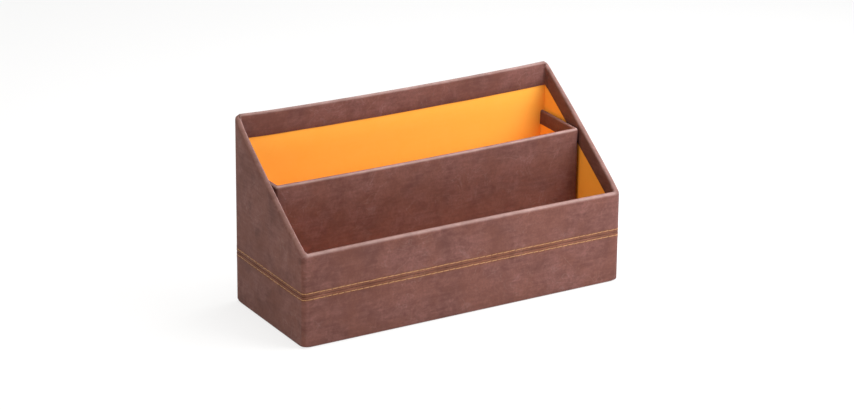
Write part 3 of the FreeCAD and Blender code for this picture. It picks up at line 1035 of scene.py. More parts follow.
@dataclass
class StitchRows:
    """Separate stitches of both rows, sewn in the flat and then wrapped round the case."""

    sizes: CaseSizes
    bow: Bow
    stitching: Stitching
    rings: tuple[tuple[float, float, float], ...] = (
        (-1.00, -0.28, 0.70),
        (-0.92, -0.02, 0.90),
        (-0.74, 0.14, 1.00),
        (0.0, 0.20, 1.04),
        (0.74, 0.14, 1.00),
        (0.92, -0.02, 0.90),
        (1.00, -0.28, 0.70),
    )
    sides: int = 8
    flattened: float = 0.9
    tilt_spread: float = 0.018
    drift_spread: float = 0.045
    length_spread: float = 0.03
    height_spread: float = 0.02

    def build(self) -> list[bpy.types.Object]:
        """Make both rows.

        Returns:
            The upper and the lower row.
        """
        rows = []
        for name, node, side in (
            ("upper_stitches", "upper_stitch_row", 1),
            ("lower_stitches", "lower_stitch_row", -1),
        ):
            row = self._sew(name)
            self._wrap(row, side)
            hand_over(row, Slot.THREAD, [node])
            rows.append(row)
        return rows

    def _single_stitch(self, name: str) -> bpy.types.Object:
        """One stitch along +X: a round thread whose ends dive into the needle holes."""
        sewing = self.stitching
        bpy.ops.object.select_all(action="DESELECT")
        bpy.ops.mesh.primitive_cylinder_add(
            vertices=self.sides,
            radius=sewing.thread / 2 * MM,
            depth=sewing.visible * MM,
            rotation=(0.0, RIGHT_ANGLE, 0.0),
        )
        stitch = bpy.context.object
        stitch.name = stitch.data.name = name
        bpy.ops.object.transform_apply(location=True, rotation=True, scale=True)
        select_edges(stitch, lambda start, end: abs(start.x - end.x) > MM)
        with editing(stitch, everything=False):
            bpy.ops.mesh.subdivide(number_cuts=len(self.rings) - 2)
        points = points_of(stitch)
        half = sewing.visible / 2
        spots = np.linspace(-1, 1, len(self.rings))
        ring = np.rint(np.interp(points[:, 0] / half, spots, np.arange(len(self.rings)))).astype(int)
        place, lift, girth = np.array(self.rings)[ring].T
        points[:, 0] = place * half
        points[:, 1] *= girth
        points[:, 2] = points[:, 2] * girth * self.flattened + lift
        place_points(stitch, points)
        self._wind(stitch, points)
        return stitch

    def _wind(self, stitch: bpy.types.Object, points: np.ndarray) -> None:
        """UV map of the thread: U round it, V along it in thread widths."""
        mesh = stitch.data
        for face in mesh.polygons:
            turns = [math.atan2(points[v][2], points[v][1]) / math.tau % 1.0 for v in face.vertices]
            crosses = max(turns) - min(turns) > HALF_TURN
            for corner, vertex, turn in zip(face.loop_indices, face.vertices, turns):
                u = turn + 1.0 if crosses and turn < HALF_TURN else turn
                v = points[vertex][0] / self.stitching.thread
                mesh.uv_layers.active.data[corner].uv = (u, v)

    def _sew(self, name: str) -> bpy.types.Object:
        """A whole row of stitches in the flat, the first with its middle at X 0."""
        path = self.sizes.path()
        row = self._single_stitch(name)
        repeat = row.modifiers.new("row", "ARRAY")
        repeat.count = self.stitching.count(path)
        repeat.use_relative_offset = False
        repeat.use_constant_offset = True
        repeat.constant_offset_displace = (self.stitching.pitch(path) * MM, 0.0, 0.0)
        apply_modifiers(row)
        return row

    def _wrap(self, row: bpy.types.Object, side: int) -> None:
        """Lay a flat row into the groove round the case, each stitch a little unlike the next."""
        sewing, path = self.stitching, self.sizes.path()
        points = points_of(row)
        count, pitch = sewing.count(path), sewing.pitch(path)
        stitch = np.repeat(np.arange(count), len(points) // count)
        random = np.random.default_rng(17 + side)
        tilt = (sewing.tilt + random.normal(0, self.tilt_spread, count))[stitch]
        drift = random.normal(0, self.drift_spread, count)[stitch]
        length = (1 + random.normal(0, self.length_spread, count))[stitch]
        height = random.normal(0, self.height_spread, count)[stitch]
        within = (points[:, 0] - stitch * pitch) * length
        along = sewing.first(path) + stitch * pitch + within
        inset = sewing.groove - points[:, 2] - height
        x, y = path.at(along, inset)
        z = self.sizes.seam + side * sewing.offset + points[:, 1] + tilt * within + drift
        place_points(row, self.bow.bend_case(np.stack([x, y, z], axis=1)))
        with editing(row):
            bpy.ops.mesh.normals_make_consistent(inside=False)
        bpy.ops.object.shade_smooth()


@dataclass(frozen=True)
class Slab:
    """Flat board or paper in a wall, between two corners, its top following a rim.

    Attributes:
        name: Name of the piece.
        node: CAD node that it stands for.
        slot: Record slot that it takes its finish from.
        low: Lowest corner.
        high: Highest corner.
        sloping: Whether its top follows the side rims.
        covered_corners: Corners of the walls in plan that lie under the leatherette's roundness.
        ease: How far those corners are drawn in.
        corner_tolerance: Distance within which an upright edge is one of those corners.
        cut_spacing: Spacing of the cuts that let it bend.
        uncut_length: Length up to which it needs no cuts.
    """

    name: str
    node: str
    slot: Slot
    low: tuple[float, float, float]
    high: tuple[float, float, float]
    sloping: bool = False
    covered_corners: tuple[tuple[float, float], ...] = ()
    ease: float = 0.6
    corner_tolerance: float = 0.1
    cut_spacing: float = 9.0
    uncut_length: float = 10.0

    @classmethod
    def at_node(cls, node: str, is_board: bool, **settings: float | bool | tuple) -> Slab:
        """Slab between the corners of a CAD node.

        Args:
            node: CAD node of a board or a paper.
            is_board: Whether the node is a board.
            **settings: Further fields of the slab.

        Returns:
            The slab, named after the node.
        """
        low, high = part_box(node)
        return cls(
            name=node + ("_core" if is_board else "_paper"),
            node=node,
            slot=Slot.GREYBOARD if is_board else Slot.LINING,
            low=tuple(low / MM),
            high=tuple(high / MM),
            **settings,
        )

    def build(self, case: CaseSizes, bend: Callable[[np.ndarray], np.ndarray]) -> bpy.types.Object:
        """Model the slab and let it follow the bow of its wall.

        Args:
            case: Sizes of the case, for the slope of a sloping top.
            bend: Moves points to where the bowed wall has them.

        Returns:
            The slab's mesh object.
        """
        low, high = np.array(self.low), np.array(self.high)
        bpy.ops.object.select_all(action="DESELECT")
        bpy.ops.mesh.primitive_cube_add(size=1.0)
        piece = bpy.context.object
        piece.name = piece.data.name = self.name
        place_points(piece, low + (points_of(piece) * MM + 0.5) * (high - low))
        for axis, cuts in self._cuts(high - low):
            others = [other for other in range(3) if other != axis]
            select_edges(
                piece,
                lambda start, end: all(abs(start[i] - end[i]) < MERGE_DISTANCE for i in others),
            )
            with editing(piece, everything=False):
                bpy.ops.mesh.subdivide(number_cuts=cuts)
        points = points_of(piece)
        if self.sloping:
            drop = case.cover * math.hypot(1, case.rise)
            share = (points[:, 2] - low[2]) / (high[2] - low[2])
            points[:, 2] = low[2] + share * (case.slope(points[:, 1]) - drop - low[2])
        place_points(piece, bend(self._eased(points)))
        hand_over(piece, self.slot, [self.node])
        return piece

    def _eased(self, points: np.ndarray) -> np.ndarray:
        """Points with the upright corners under the leatherette drawn in, as its roundness asks."""
        eased = points.copy()
        for corner in self.covered_corners:
            here = np.hypot(*(points[:, :2] - corner).T) < self.corner_tolerance
            eased[here, :2] -= np.sign(corner) * self.ease
        return eased

    def _cuts(self, size: np.ndarray) -> list[tuple[int, int]]:
        """Axes longer than a few millimetres, with the cuts that let them bend smoothly."""
        long = [axis for axis in range(3) if size[axis] > self.uncut_length]
        return [(axis, round(size[axis] / self.cut_spacing)) for axis in long]


@dataclass
class CaseWalls:
    """Base board, and boards and lining paper of the case's walls."""

    sizes: CaseSizes
    bow: Bow
    base_ease: float = 1.8

    def slabs(self) -> list[Slab]:
        """Every board and paper of the walls, between its CAD node's corners."""
        sloping = {"left_side_board", "right_side_board", "left_lining", "right_lining"}
        boards = ("base_board", "front_board", "rear_board", "left_side_board", "right_side_board")
        outer_x = self.sizes.half_width - self.sizes.cover
        outer_y = self.sizes.half_depth - self.sizes.cover
        uprights = tuple((x, y) for x in (-outer_x, outer_x) for y in (-outer_y, outer_y))
        papers = ("front_lining", "rear_lining", "left_lining", "right_lining")
        return [
            Slab.at_node(
                node,
                is_board=node in boards,
                sloping=node in sloping,
                covered_corners=uprights,
                ease=self.base_ease if node == "base_board" else Slab.ease,
            )
            for node in boards + papers
        ]

    def build(self) -> list[bpy.types.Object]:
        """Make the boards and the papers."""
        return [slab.build(self.sizes, self.bow.bend_case) for slab in self.slabs()]


@dataclass
class Insert:
    """Divider insert: boards, lining paper and a leatherette strip over its rim."""

    case: CaseSizes
    sizes: InsertSizes
    bow: Bow
    outer_radius: float = 1.7
    inner_radius: float = 1.1
    crown: float = 0.25
    spacing: float = 1.6
    body_shares: tuple[float, ...] = (0.2, 0.4, 0.6, 0.8)
    wobble: float = 0.06
    waves: tuple[float, ...] = (1.0, 2.3, 3.9)
    wave_length: float = 30.0
    inner_highlight_and_wear: float = 0.2
    turn_in_share: float = 0.6
    outer_rows: int = 6
    inner_rows: int = 5

    def build(self) -> list[bpy.types.Object]:
        """Make the insert's pieces.

        Returns:
            The leatherette strip, the boards and the papers.
        """
        cover = self._cover()
        hand_over(cover, Slot.LEATHERETTE, ["insert_cover"])
        found = [cover]
        outer_x, outer_y = self.sizes.half_width - self.case.cover, self.sizes.front + self.case.cover
        uprights = ((-outer_x, outer_y), (outer_x, outer_y))
        for part in ("front", "left", "right"):
            for kind in ("board", "lining"):
                slab = Slab.at_node(
                    f"insert_{part}_{kind}", is_board=kind == "board", covered_corners=uprights
                )
                found.append(slab.build(self.case, self.bow.bend_insert))
        return found

    def _cover(self) -> bpy.types.Object:
        """Leatherette from the floor over the rim, turned in behind it."""
        case, sizes = self.case, self.sizes
        path = sizes.path(case.corner_radius)
        strip = Strip("insert_leatherette", path, path.stations(self.spacing), self.bow.bend_insert)
        outer, inner, wall = self.outer_radius, self.inner_radius, case.wall
        top, low = sizes.top, sizes.bottom
        random = np.random.default_rng(5)
        turns = strip.stations / self.wave_length
        wander = self.wobble * sum(
            np.sin(turns * wave + random.uniform(0, PHASE_RANGE)) for wave in self.waves
        )
        edge = top - sizes.turn_in + wander

        strip.row(0.0, level(low), cut=1.0)
        for share in self.body_shares:
            strip.row(0.0, level(low + share * (top - outer - low)))
        # Rim mask: painted highlight on the rim's front shoulder and little on its back, with some
        # real wear.
        for inset, drop, stretched in arc(outer, self.outer_rows):
            strip.row(inset, level(top - drop + self.crown * stretched), rim=shoulder(stretched))
        for inset, drop, stretched in reversed(arc(inner, self.inner_rows)):
            raised = top - drop + self.crown * stretched
            strip.row(wall - inset, level(raised), rim=self.inner_highlight_and_wear * stretched**2)
        strip.row(wall, level(top - self.turn_in_share * sizes.turn_in))
        for back, _, above, cut in CUT_EDGE:
            strip.row(wall - back, level(edge + above), cut=cut)
        strip.row(case.lined, level(edge), cut=1.0)
        strip.row(case.lined, level(top - 0.5 * sizes.turn_in))
        strip.row(case.lined, level(top - case.cover))
        strip.row(case.cover, level(top - case.cover))
        for share in reversed(self.body_shares):
            strip.row(case.cover, level(low + share * (top - outer - low)))
        strip.row(case.cover, level(low), cut=1.0)
        return strip.drape()


Colour = tuple[float, float, float]
Input = Union[bpy.types.NodeSocket, bpy.types.NodeTree, float, Colour]


class NodeKind(Enum):
    """Shader nodes that the finishes are made of."""

    ATTRIBUTE = "ShaderNodeAttribute"
    BUMP = "ShaderNodeBump"
    COORDINATES = "ShaderNodeTexCoord"
    GROUP = "ShaderNodeGroup"
    GROUP_INPUT = "NodeGroupInput"
    GROUP_OUTPUT = "NodeGroupOutput"
    MAPPING = "ShaderNodeMapping"
    MATH = "ShaderNodeMath"
    MIX = "ShaderNodeMix"
    NOISE = "ShaderNodeTexNoise"
    OUTPUT = "ShaderNodeOutputMaterial"
    PRINCIPLED = "ShaderNodeBsdfPrincipled"
    RAMP = "ShaderNodeMapRange"
    SEPARATE = "ShaderNodeSeparateXYZ"
    VORONOI = "ShaderNodeTexVoronoi"


@dataclass
class Sheet:
    """Node tree that nodes are added to and linked in."""

    tree: bpy.types.NodeTree

    def add(
        self, kind: NodeKind, settings: dict[str, str] | None = None, **inputs: Input
    ) -> bpy.types.Node:
        """Add a node.

        Args:
            kind: Kind of node.
            settings: Properties of the node.
            **inputs: Inputs by their names in lower case with underscores. A socket is linked
                and anything else is a value.

        Returns:
            The node.
        """
        node = self.tree.nodes.new(kind.value)
        for name, value in (settings or {}).items():
            setattr(node, name, value)
        for name, value in inputs.items():
            self.feed(node, name, value)
        return node

    def feed(self, node: bpy.types.Node, name: str, value: Input) -> None:
        """Link or set the first enabled input of a node that has this name."""
        wanted = name.replace("_", " ")
        sockets = [s for s in node.inputs if s.enabled and s.name.lower() == wanted]
        if not sockets:
            raise KeyError(f"{node.bl_idname} has no input {wanted}")
        if isinstance(value, bpy.types.NodeSocket):
            self.tree.links.new(value, sockets[0])
        else:
            sockets[0].default_value = value

    def math(
        self, operation: str, first: Input, second: Input | None = None
    ) -> bpy.types.NodeSocket:
        """Result of a math node on one or two values or sockets."""
        node = self.add(NodeKind.MATH, {"operation": operation})
        for index, value in enumerate((first, second)):
            if isinstance(value, bpy.types.NodeSocket):
                self.tree.links.new(value, node.inputs[index])
            elif value is not None:
                node.inputs[index].default_value = value
        return node.outputs[0]

    def blend(
        self, factor: Input, first: Input, second: Input, mode: str = "MIX"
    ) -> bpy.types.NodeSocket:
        """Mix of two colours, each a socket or a plain RGB triple."""
        node = self.add(NodeKind.MIX, {"data_type": "RGBA", "blend_type": mode})
        for name, value in (("Factor", factor), ("A", first), ("B", second)):
            socket = next(s for s in node.inputs if s.enabled and s.name == name)
            if isinstance(value, bpy.types.NodeSocket):
                self.tree.links.new(value, socket)
            else:
                socket.default_value = value if name == "Factor" else (*value, 1.0)
        return next(s for s in node.outputs if s.enabled)

    def spread(
        self, value: Input, low: float, high: float, to_low: float, to_high: float
    ) -> bpy.types.NodeSocket:
        """Value taken smoothly from one range to another and clamped there."""
        node = self.add(NodeKind.RAMP, {"interpolation_type": "SMOOTHSTEP"})
        self.feed(node, "value", value)
        for name, number in (
            ("from_min", low),
            ("from_max", high),
            ("to_min", to_low),
            ("to_max", to_high),
        ):
            self.feed(node, name, number)
        return node.outputs["Result"]

    def noise(
        self, vector: Input, scale: bpy.types.NodeSocket, times: float, **settings: float
    ) -> bpy.types.NodeSocket:
        """Noise that repeats a number of times a metre at scale 1.

        Args:
            vector: Coordinates.
            scale: Scale of the group that the noise is in.
            times: Repeats a metre.
            **settings: Further inputs of the noise, such as its detail.

        Returns:
            The noise, from 0 to 1.
        """
        scaled = self.math("MULTIPLY", scale, times)
        return self.add(NodeKind.NOISE, vector=vector, scale=scaled, **settings).outputs["Fac"]

    def surface(self, **inputs: Input) -> None:
        """Close a material with its one shader.

        Args:
            **inputs: Inputs of the shader, as in add.
        """
        shader = self.add(NodeKind.PRINCIPLED, **inputs)
        self.add(NodeKind.OUTPUT, surface=shader.outputs["BSDF"])


def new_group(name: str, inputs: dict[str, tuple[str, float]], outputs: dict[str, str]) -> tuple:
    """Start a shader node group.

    Args:
        name: Name of the group.
        inputs: Kind and default of each named input.
        outputs: Kind of each named output.

    Returns:
        The group, its sheet, its input node and its output node.
    """
    group = bpy.data.node_groups.new(name, "ShaderNodeTree")
    for label, (kind, default) in inputs.items():
        socket = group.interface.new_socket(label, in_out="INPUT", socket_type=kind)
        if kind == "NodeSocketFloat":
            socket.default_value = default
    for label, kind in outputs.items():
        group.interface.new_socket(label, in_out="OUTPUT", socket_type=kind)
    sheet = Sheet(group)
    return group, sheet, sheet.add(NodeKind.GROUP_INPUT), sheet.add(NodeKind.GROUP_OUTPUT)


FLOAT, VECTOR = "NodeSocketFloat", "NodeSocketVector"


@dataclass
class Effects:
    """Effects that several finishes share, each a node group."""

    clouds: bpy.types.NodeTree = field(init=False)
    grain: bpy.types.NodeTree = field(init=False)
    fibres: bpy.types.NodeTree = field(init=False)

    def __post_init__(self) -> None:
        """Build the groups."""
        self.clouds = self._clouds()
        self.grain = self._grain()
        self.fibres = self._fibres()

    @staticmethod
    def _clouds() -> bpy.types.NodeTree:
        """Soft tone clouds and thin crease veins of a waxed surface."""
        group, sheet, given, out = new_group(
            "waxed_clouds",
            {"Vector": (VECTOR, 0.0), "Scale": (FLOAT, 1.0)},
            {"Tone": FLOAT, "Veins": FLOAT, "Warmth": FLOAT},
        )
        vector, scale = given.outputs["Vector"], given.outputs["Scale"]
        wide = sheet.noise(vector, scale, 34.0, detail=2.5, roughness=0.55, distortion=0.3)
        small = sheet.noise(vector, scale, 105.0, detail=6.0, roughness=0.68, distortion=0.5)
        drawn_out = sheet.add(NodeKind.MAPPING, vector=vector, scale=(0.14, 0.14, 1.0))
        brushed = sheet.noise(drawn_out.outputs["Vector"], scale, 520.0, detail=3.0, roughness=0.55)
        tone = sheet.math("MULTIPLY", wide, 0.26)
        tone = sheet.math("ADD", tone, sheet.math("MULTIPLY", small, 0.50))
        tone = sheet.math("ADD", tone, sheet.math("MULTIPLY", brushed, 0.24))
        drift = sheet.noise(vector, scale, 48.0, detail=4.0)
        warmth = sheet.spread(drift, 0.38, 0.62, 0.0, 1.0)
        creased = sheet.noise(vector, scale, 60.0, detail=3.0, roughness=0.55, distortion=0.9)
        off_middle = sheet.math("ABSOLUTE", sheet.math("SUBTRACT", creased, 0.5))
        veins = sheet.spread(off_middle, 0.0, 0.02, 1.0, 0.0)
        patchy = sheet.spread(wide, 0.46, 0.62, 0.0, 1.0)
        sheet.feed(out, "warmth", warmth)
        sheet.feed(out, "tone", tone)
        sheet.feed(out, "veins", sheet.math("MULTIPLY", veins, patchy))
        return group

    @staticmethod
    def _grain() -> bpy.types.NodeTree:
        """Fine pebbled grain pressed into leatherette."""
        group, sheet, given, out = new_group(
            "pressed_grain",
            {"Vector": (VECTOR, 0.0), "Scale": (FLOAT, 1.0)},
            {"Height": FLOAT, "Speckle": FLOAT},
        )
        vector, scale = given.outputs["Vector"], given.outputs["Scale"]
        pebble = sheet.add(
            NodeKind.VORONOI,
            {"feature": "SMOOTH_F1"},
            vector=vector,
            scale=sheet.math("MULTIPLY", scale, 1150.0),
            smoothness=0.6,
        )
        rough = sheet.noise(vector, scale, 640.0, detail=4.0, roughness=0.6)
        height = sheet.math(
            "ADD",
            sheet.math("MULTIPLY", pebble.outputs["Distance"], 0.5),
            sheet.math("MULTIPLY", rough, 0.5),
        )
        sheet.feed(out, "height", height)
        sheet.feed(out, "speckle", rough)
        return group

    @staticmethod
    def _fibres() -> bpy.types.NodeTree:
        """Short fibres of paper and board."""
        group, sheet, given, out = new_group(
            "pulp_fibres",
            {"Vector": (VECTOR, 0.0), "Scale": (FLOAT, 1.0)},
            {"Height": FLOAT, "Flecks": FLOAT},
        )
        vector, scale = given.outputs["Vector"], given.outputs["Scale"]
        matted = sheet.noise(vector, scale, 900.0, detail=5.0, roughness=0.7, distortion=2.0)
        fleck = sheet.noise(vector, scale, 260.0, detail=3.0, roughness=0.6, distortion=3.0)
        sheet.feed(out, "height", matted)
        sheet.feed(out, "flecks", sheet.spread(fleck, 0.35, 0.7, 0.0, 1.0))
        return group


def start_material(name: str) -> tuple[bpy.types.Material, Sheet]:
    """Empty node material and its sheet."""
    material = bpy.data.materials.new(name)
    material.use_nodes = True
    material.node_tree.nodes.clear()
    return material, Sheet(material.node_tree)


def place_group(
    sheet: Sheet, group: bpy.types.NodeTree, vector: Input, scale: float
) -> bpy.types.Node:
    """Put an effect into a material with its own scale."""
    node = sheet.add(NodeKind.GROUP, {"node_tree": group})
    sheet.feed(node, "vector", vector)
    sheet.feed(node, "scale", scale)
    return node


@dataclass(frozen=True)
class Leatherette:
    """Waxed brown leatherette: clouded tone, fine grain, paler over the rims where a painted
    highlight and some real wear lie, lighter and warmer by the seam as a painted highlight, and
    darker in the seam's crease as painted shade.
    """

    name: str = "leatherette"
    deep: Colour = (0.107, 0.0455, 0.0385)
    pale: Colour = (0.190, 0.085, 0.074)
    warm: Colour = (0.161, 0.064, 0.047)
    # Pale colour of the crease veins and of real rim wear, which also paints the rims' highlight.
    wear_and_highlight: Colour = (0.385, 0.278, 0.262)
    # Painted highlight by the seam: it makes the leatherette lighter and warmer there.
    folded: Colour = (1.16, 1.08, 0.78)
    # Dark core of the cut edges, also the painted shade in the seam's crease and the painted shadow
    # line along the turn-in edges.
    core: Colour = (0.075, 0.030, 0.014)
    roughness: float = 0.42
    specular: float = 0.05
    grain_depth: float = 0.035

    def make(self, effects: Effects) -> bpy.types.Material:
        """Build the material.

        Args:
            effects: Shared node groups.

        Returns:
            The material.
        """
        material, sheet = start_material(self.name)
        vector = sheet.add(NodeKind.COORDINATES).outputs["Object"]
        clouds = place_group(sheet, effects.clouds, vector, 1.0)
        grain = place_group(sheet, effects.grain, vector, 1.0)
        masks = {
            mask: sheet.add(NodeKind.ATTRIBUTE, {"attribute_name": mask.value}).outputs["Fac"]
            for mask in Mask
        }
        tone = clouds.outputs["Tone"]
        colour = sheet.blend(sheet.spread(tone, 0.365, 0.635, 0.0, 1.0), self.deep, self.pale)
        colour = sheet.blend(sheet.math("MULTIPLY", clouds.outputs["Warmth"], 0.5), colour, self.warm)
        colour = sheet.blend(sheet.math("MULTIPLY", clouds.outputs["Veins"], 0.10), colour, self.wear_and_highlight)
        mottle = sheet.spread(grain.outputs["Speckle"], 0.35, 0.65, 0.0, 0.36)
        colour = sheet.blend(mottle, colour, self.deep)
        # Painted highlight by the seam, lighter and warmer where the fold mask is.
        colour = sheet.blend(masks[Mask.FOLD], colour, self.folded, mode="MULTIPLY")
        # Painted highlight along the rims, with some real wear: paler leatherette where the rim mask
        # is.
        wear_and_highlight = sheet.math("MULTIPLY", masks[Mask.RIM], sheet.spread(tone, 0.35, 0.65, 0.32, 0.55))
        colour = sheet.blend(wear_and_highlight, colour, self.wear_and_highlight)
        # Dark core on the cut edges, also painting shade in the seam's crease and a shadow line along
        # the turn-in edges.
        colour = sheet.blend(masks[Mask.CUT], colour, self.core)
        roughness = sheet.spread(tone, 0.3, 0.7, self.roughness + 0.06, self.roughness - 0.06)
        relief = sheet.math(
            "ADD", grain.outputs["Height"], sheet.math("MULTIPLY", clouds.outputs["Veins"], -0.3)
        )
        bump = sheet.add(NodeKind.BUMP, strength=0.55, distance=self.grain_depth * MM, height=relief)
        sheet.surface(
            base_color=colour,
            roughness=roughness,
            specular_ior_level=self.specular,
            normal=bump.outputs["Normal"],
        )
        return material


@dataclass(frozen=True)
class LiningPaper:
    """Bright orange lining paper with a faint fibre."""

    name: str = "lining_paper"
    base: Colour = (0.95, 0.415, 0.054)
    light: Colour = (0.95, 0.436, 0.068)
    roughness: float = 0.62

    def make(self, effects: Effects) -> bpy.types.Material:
        """Build the material."""
        material, sheet = start_material(self.name)
        vector = sheet.add(NodeKind.COORDINATES).outputs["Object"]
        fibres = place_group(sheet, effects.fibres, vector, 1.0)
        clouds = place_group(sheet, effects.clouds, vector, 0.6)
        blotch = sheet.spread(clouds.outputs["Tone"], 0.35, 0.65, 0.0, 0.6)
        mixed = sheet.math("ADD", blotch, sheet.math("MULTIPLY", fibres.outputs["Flecks"], 0.3))
        colour = sheet.blend(mixed, self.base, self.light)
        roughness = sheet.spread(
            fibres.outputs["Flecks"], 0.0, 1.0, self.roughness, self.roughness + 0.08
        )
        bump = sheet.add(
            NodeKind.BUMP, strength=0.25, distance=0.02 * MM, height=fibres.outputs["Height"]
        )
        sheet.surface(
            base_color=colour,
            roughness=roughness,
            specular_ior_level=0.15,
            normal=bump.outputs["Normal"],
        )
        return material


@dataclass(frozen=True)
class Greyboard:
    """Grey recycled board with flecks."""

    name: str = "greyboard"
    base: Colour = (0.30, 0.26, 0.205)
    fleck: Colour = (0.17, 0.14, 0.11)

    def make(self, effects: Effects) -> bpy.types.Material:
        """Build the material."""
        material, sheet = start_material(self.name)
        vector = sheet.add(NodeKind.COORDINATES).outputs["Object"]
        fibres = place_group(sheet, effects.fibres, vector, 0.8)
        colour = sheet.blend(fibres.outputs["Flecks"], self.fleck, self.base)
        bump = sheet.add(
            NodeKind.BUMP, strength=0.5, distance=0.05 * MM, height=fibres.outputs["Height"]
        )
        roughness = sheet.spread(fibres.outputs["Flecks"], 0.0, 1.0, 0.92, 0.84)
        sheet.surface(
            base_color=colour,
            roughness=roughness,
            specular_ior_level=0.2,
            normal=bump.outputs["Normal"],
        )
        return material


@dataclass(frozen=True)
class SewingThread:
    """Plied orange sewing thread with a soft shine and painted shade in the grooves between its
    plies.
    """

    name: str = "sewing_thread"
    base: Colour = (0.45, 0.226, 0.081)
    # Painted shade in the grooves between the plies.
    shade: Colour = (0.29, 0.126, 0.036)
    plies: float = 2.0
    turns_per_width: float = 0.55

    def make(self, effects: Effects) -> bpy.types.Material:
        """Build the material."""
        material, sheet = start_material(self.name)
        vector = sheet.add(NodeKind.COORDINATES).outputs["UV"]
        parts = sheet.add(NodeKind.SEPARATE, vector=vector)
        wound = sheet.math(
            "ADD",
            sheet.math("MULTIPLY", parts.outputs["X"], self.plies),
            sheet.math("MULTIPLY", parts.outputs["Y"], self.turns_per_width * self.plies),
        )
        ridge = sheet.math("ABSOLUTE", sheet.math("SINE", sheet.math("MULTIPLY", wound, math.pi)))
        # Painted shade: darker colour in the grooves between the plies.
        colour = sheet.blend(sheet.spread(ridge, 0.0, 0.75, 0.0, 1.0), self.shade, self.base)
        bump = sheet.add(NodeKind.BUMP, strength=0.7, distance=0.06 * MM, height=ridge)
        roughness = sheet.spread(ridge, 0.0, 1.0, 0.75, 0.5)
        sheet.surface(
            base_color=colour,
            roughness=roughness,
            specular_ior_level=0.4,
            sheen_weight=0.25,
            normal=bump.outputs["Normal"],
        )
        return material


@dataclass(frozen=True)
class Underlay:
    """Dark brown felted sheet under the case."""

    name: str = "underlay"
    base: Colour = (0.085, 0.047, 0.037)
    fuzz: Colour = (0.150, 0.090, 0.070)

    def make(self, effects: Effects) -> bpy.types.Material:
        """Build the material."""
        material, sheet = start_material(self.name)
        vector = sheet.add(NodeKind.COORDINATES).outputs["Object"]
        fibres = place_group(sheet, effects.fibres, vector, 1.6)
        colour = sheet.blend(fibres.outputs["Flecks"], self.base, self.fuzz)
        bump = sheet.add(
            NodeKind.BUMP, strength=0.8, distance=0.12 * MM, height=fibres.outputs["Height"]
        )
        roughness = sheet.spread(fibres.outputs["Flecks"], 0.0, 1.0, 0.95, 0.88)
        sheet.surface(
            base_color=colour,
            roughness=roughness,
            specular_ior_level=0.15,
            sheen_weight=0.3,
            normal=bump.outputs["Normal"],
        )
        return material


@dataclass
class Finishes:
    """One material per record slot."""

    effects: Effects = field(default_factory=Effects)
    made: dict[Slot, bpy.types.Material] = field(init=False)

    def __post_init__(self) -> None:
        """Make the materials."""
        self.made = {
            Slot.LEATHERETTE: Leatherette().make(self.effects),
            Slot.LINING: LiningPaper().make(self.effects),
            Slot.THREAD: SewingThread().make(self.effects),
            Slot.GREYBOARD: Greyboard().make(self.effects),
            Slot.UNDERSIDE: Underlay().make(self.effects),
        }

    def dress(self, piece: bpy.types.Object, slot: Slot) -> None:
        """Give a piece the material of its slot, and no other."""
        piece.data.materials.clear()
        piece.data.materials.append(self.made[slot])


AIM_HEIGHT = 60.0
WHITE = (1.0, 1.0, 1.0)


@dataclass(frozen=True)
class SoftBox:
    """Square studio light that faces the object."""

    name: str
    place: tuple[float, float, float]
    size: float
    power: float
    colour: Colour = WHITE

    def hang(self) -> None:
        """Add the light, aimed at the middle of the object."""
        lamp = bpy.data.lights.new(self.name, "AREA")
        lamp.shape = "SQUARE"
        lamp.size = self.size * MM
        lamp.energy = self.power
        lamp.color = self.colour
        light = bpy.data.objects.new(self.name, lamp)
        bpy.context.scene.collection.objects.link(light)
        aim = Vector((0.0, 0.0, AIM_HEIGHT))
        light.location = Vector(self.place) * MM
        light.rotation_mode = "QUATERNION"
        light.rotation_quaternion = (aim - Vector(self.place)).to_track_quat("-Z", "Y")


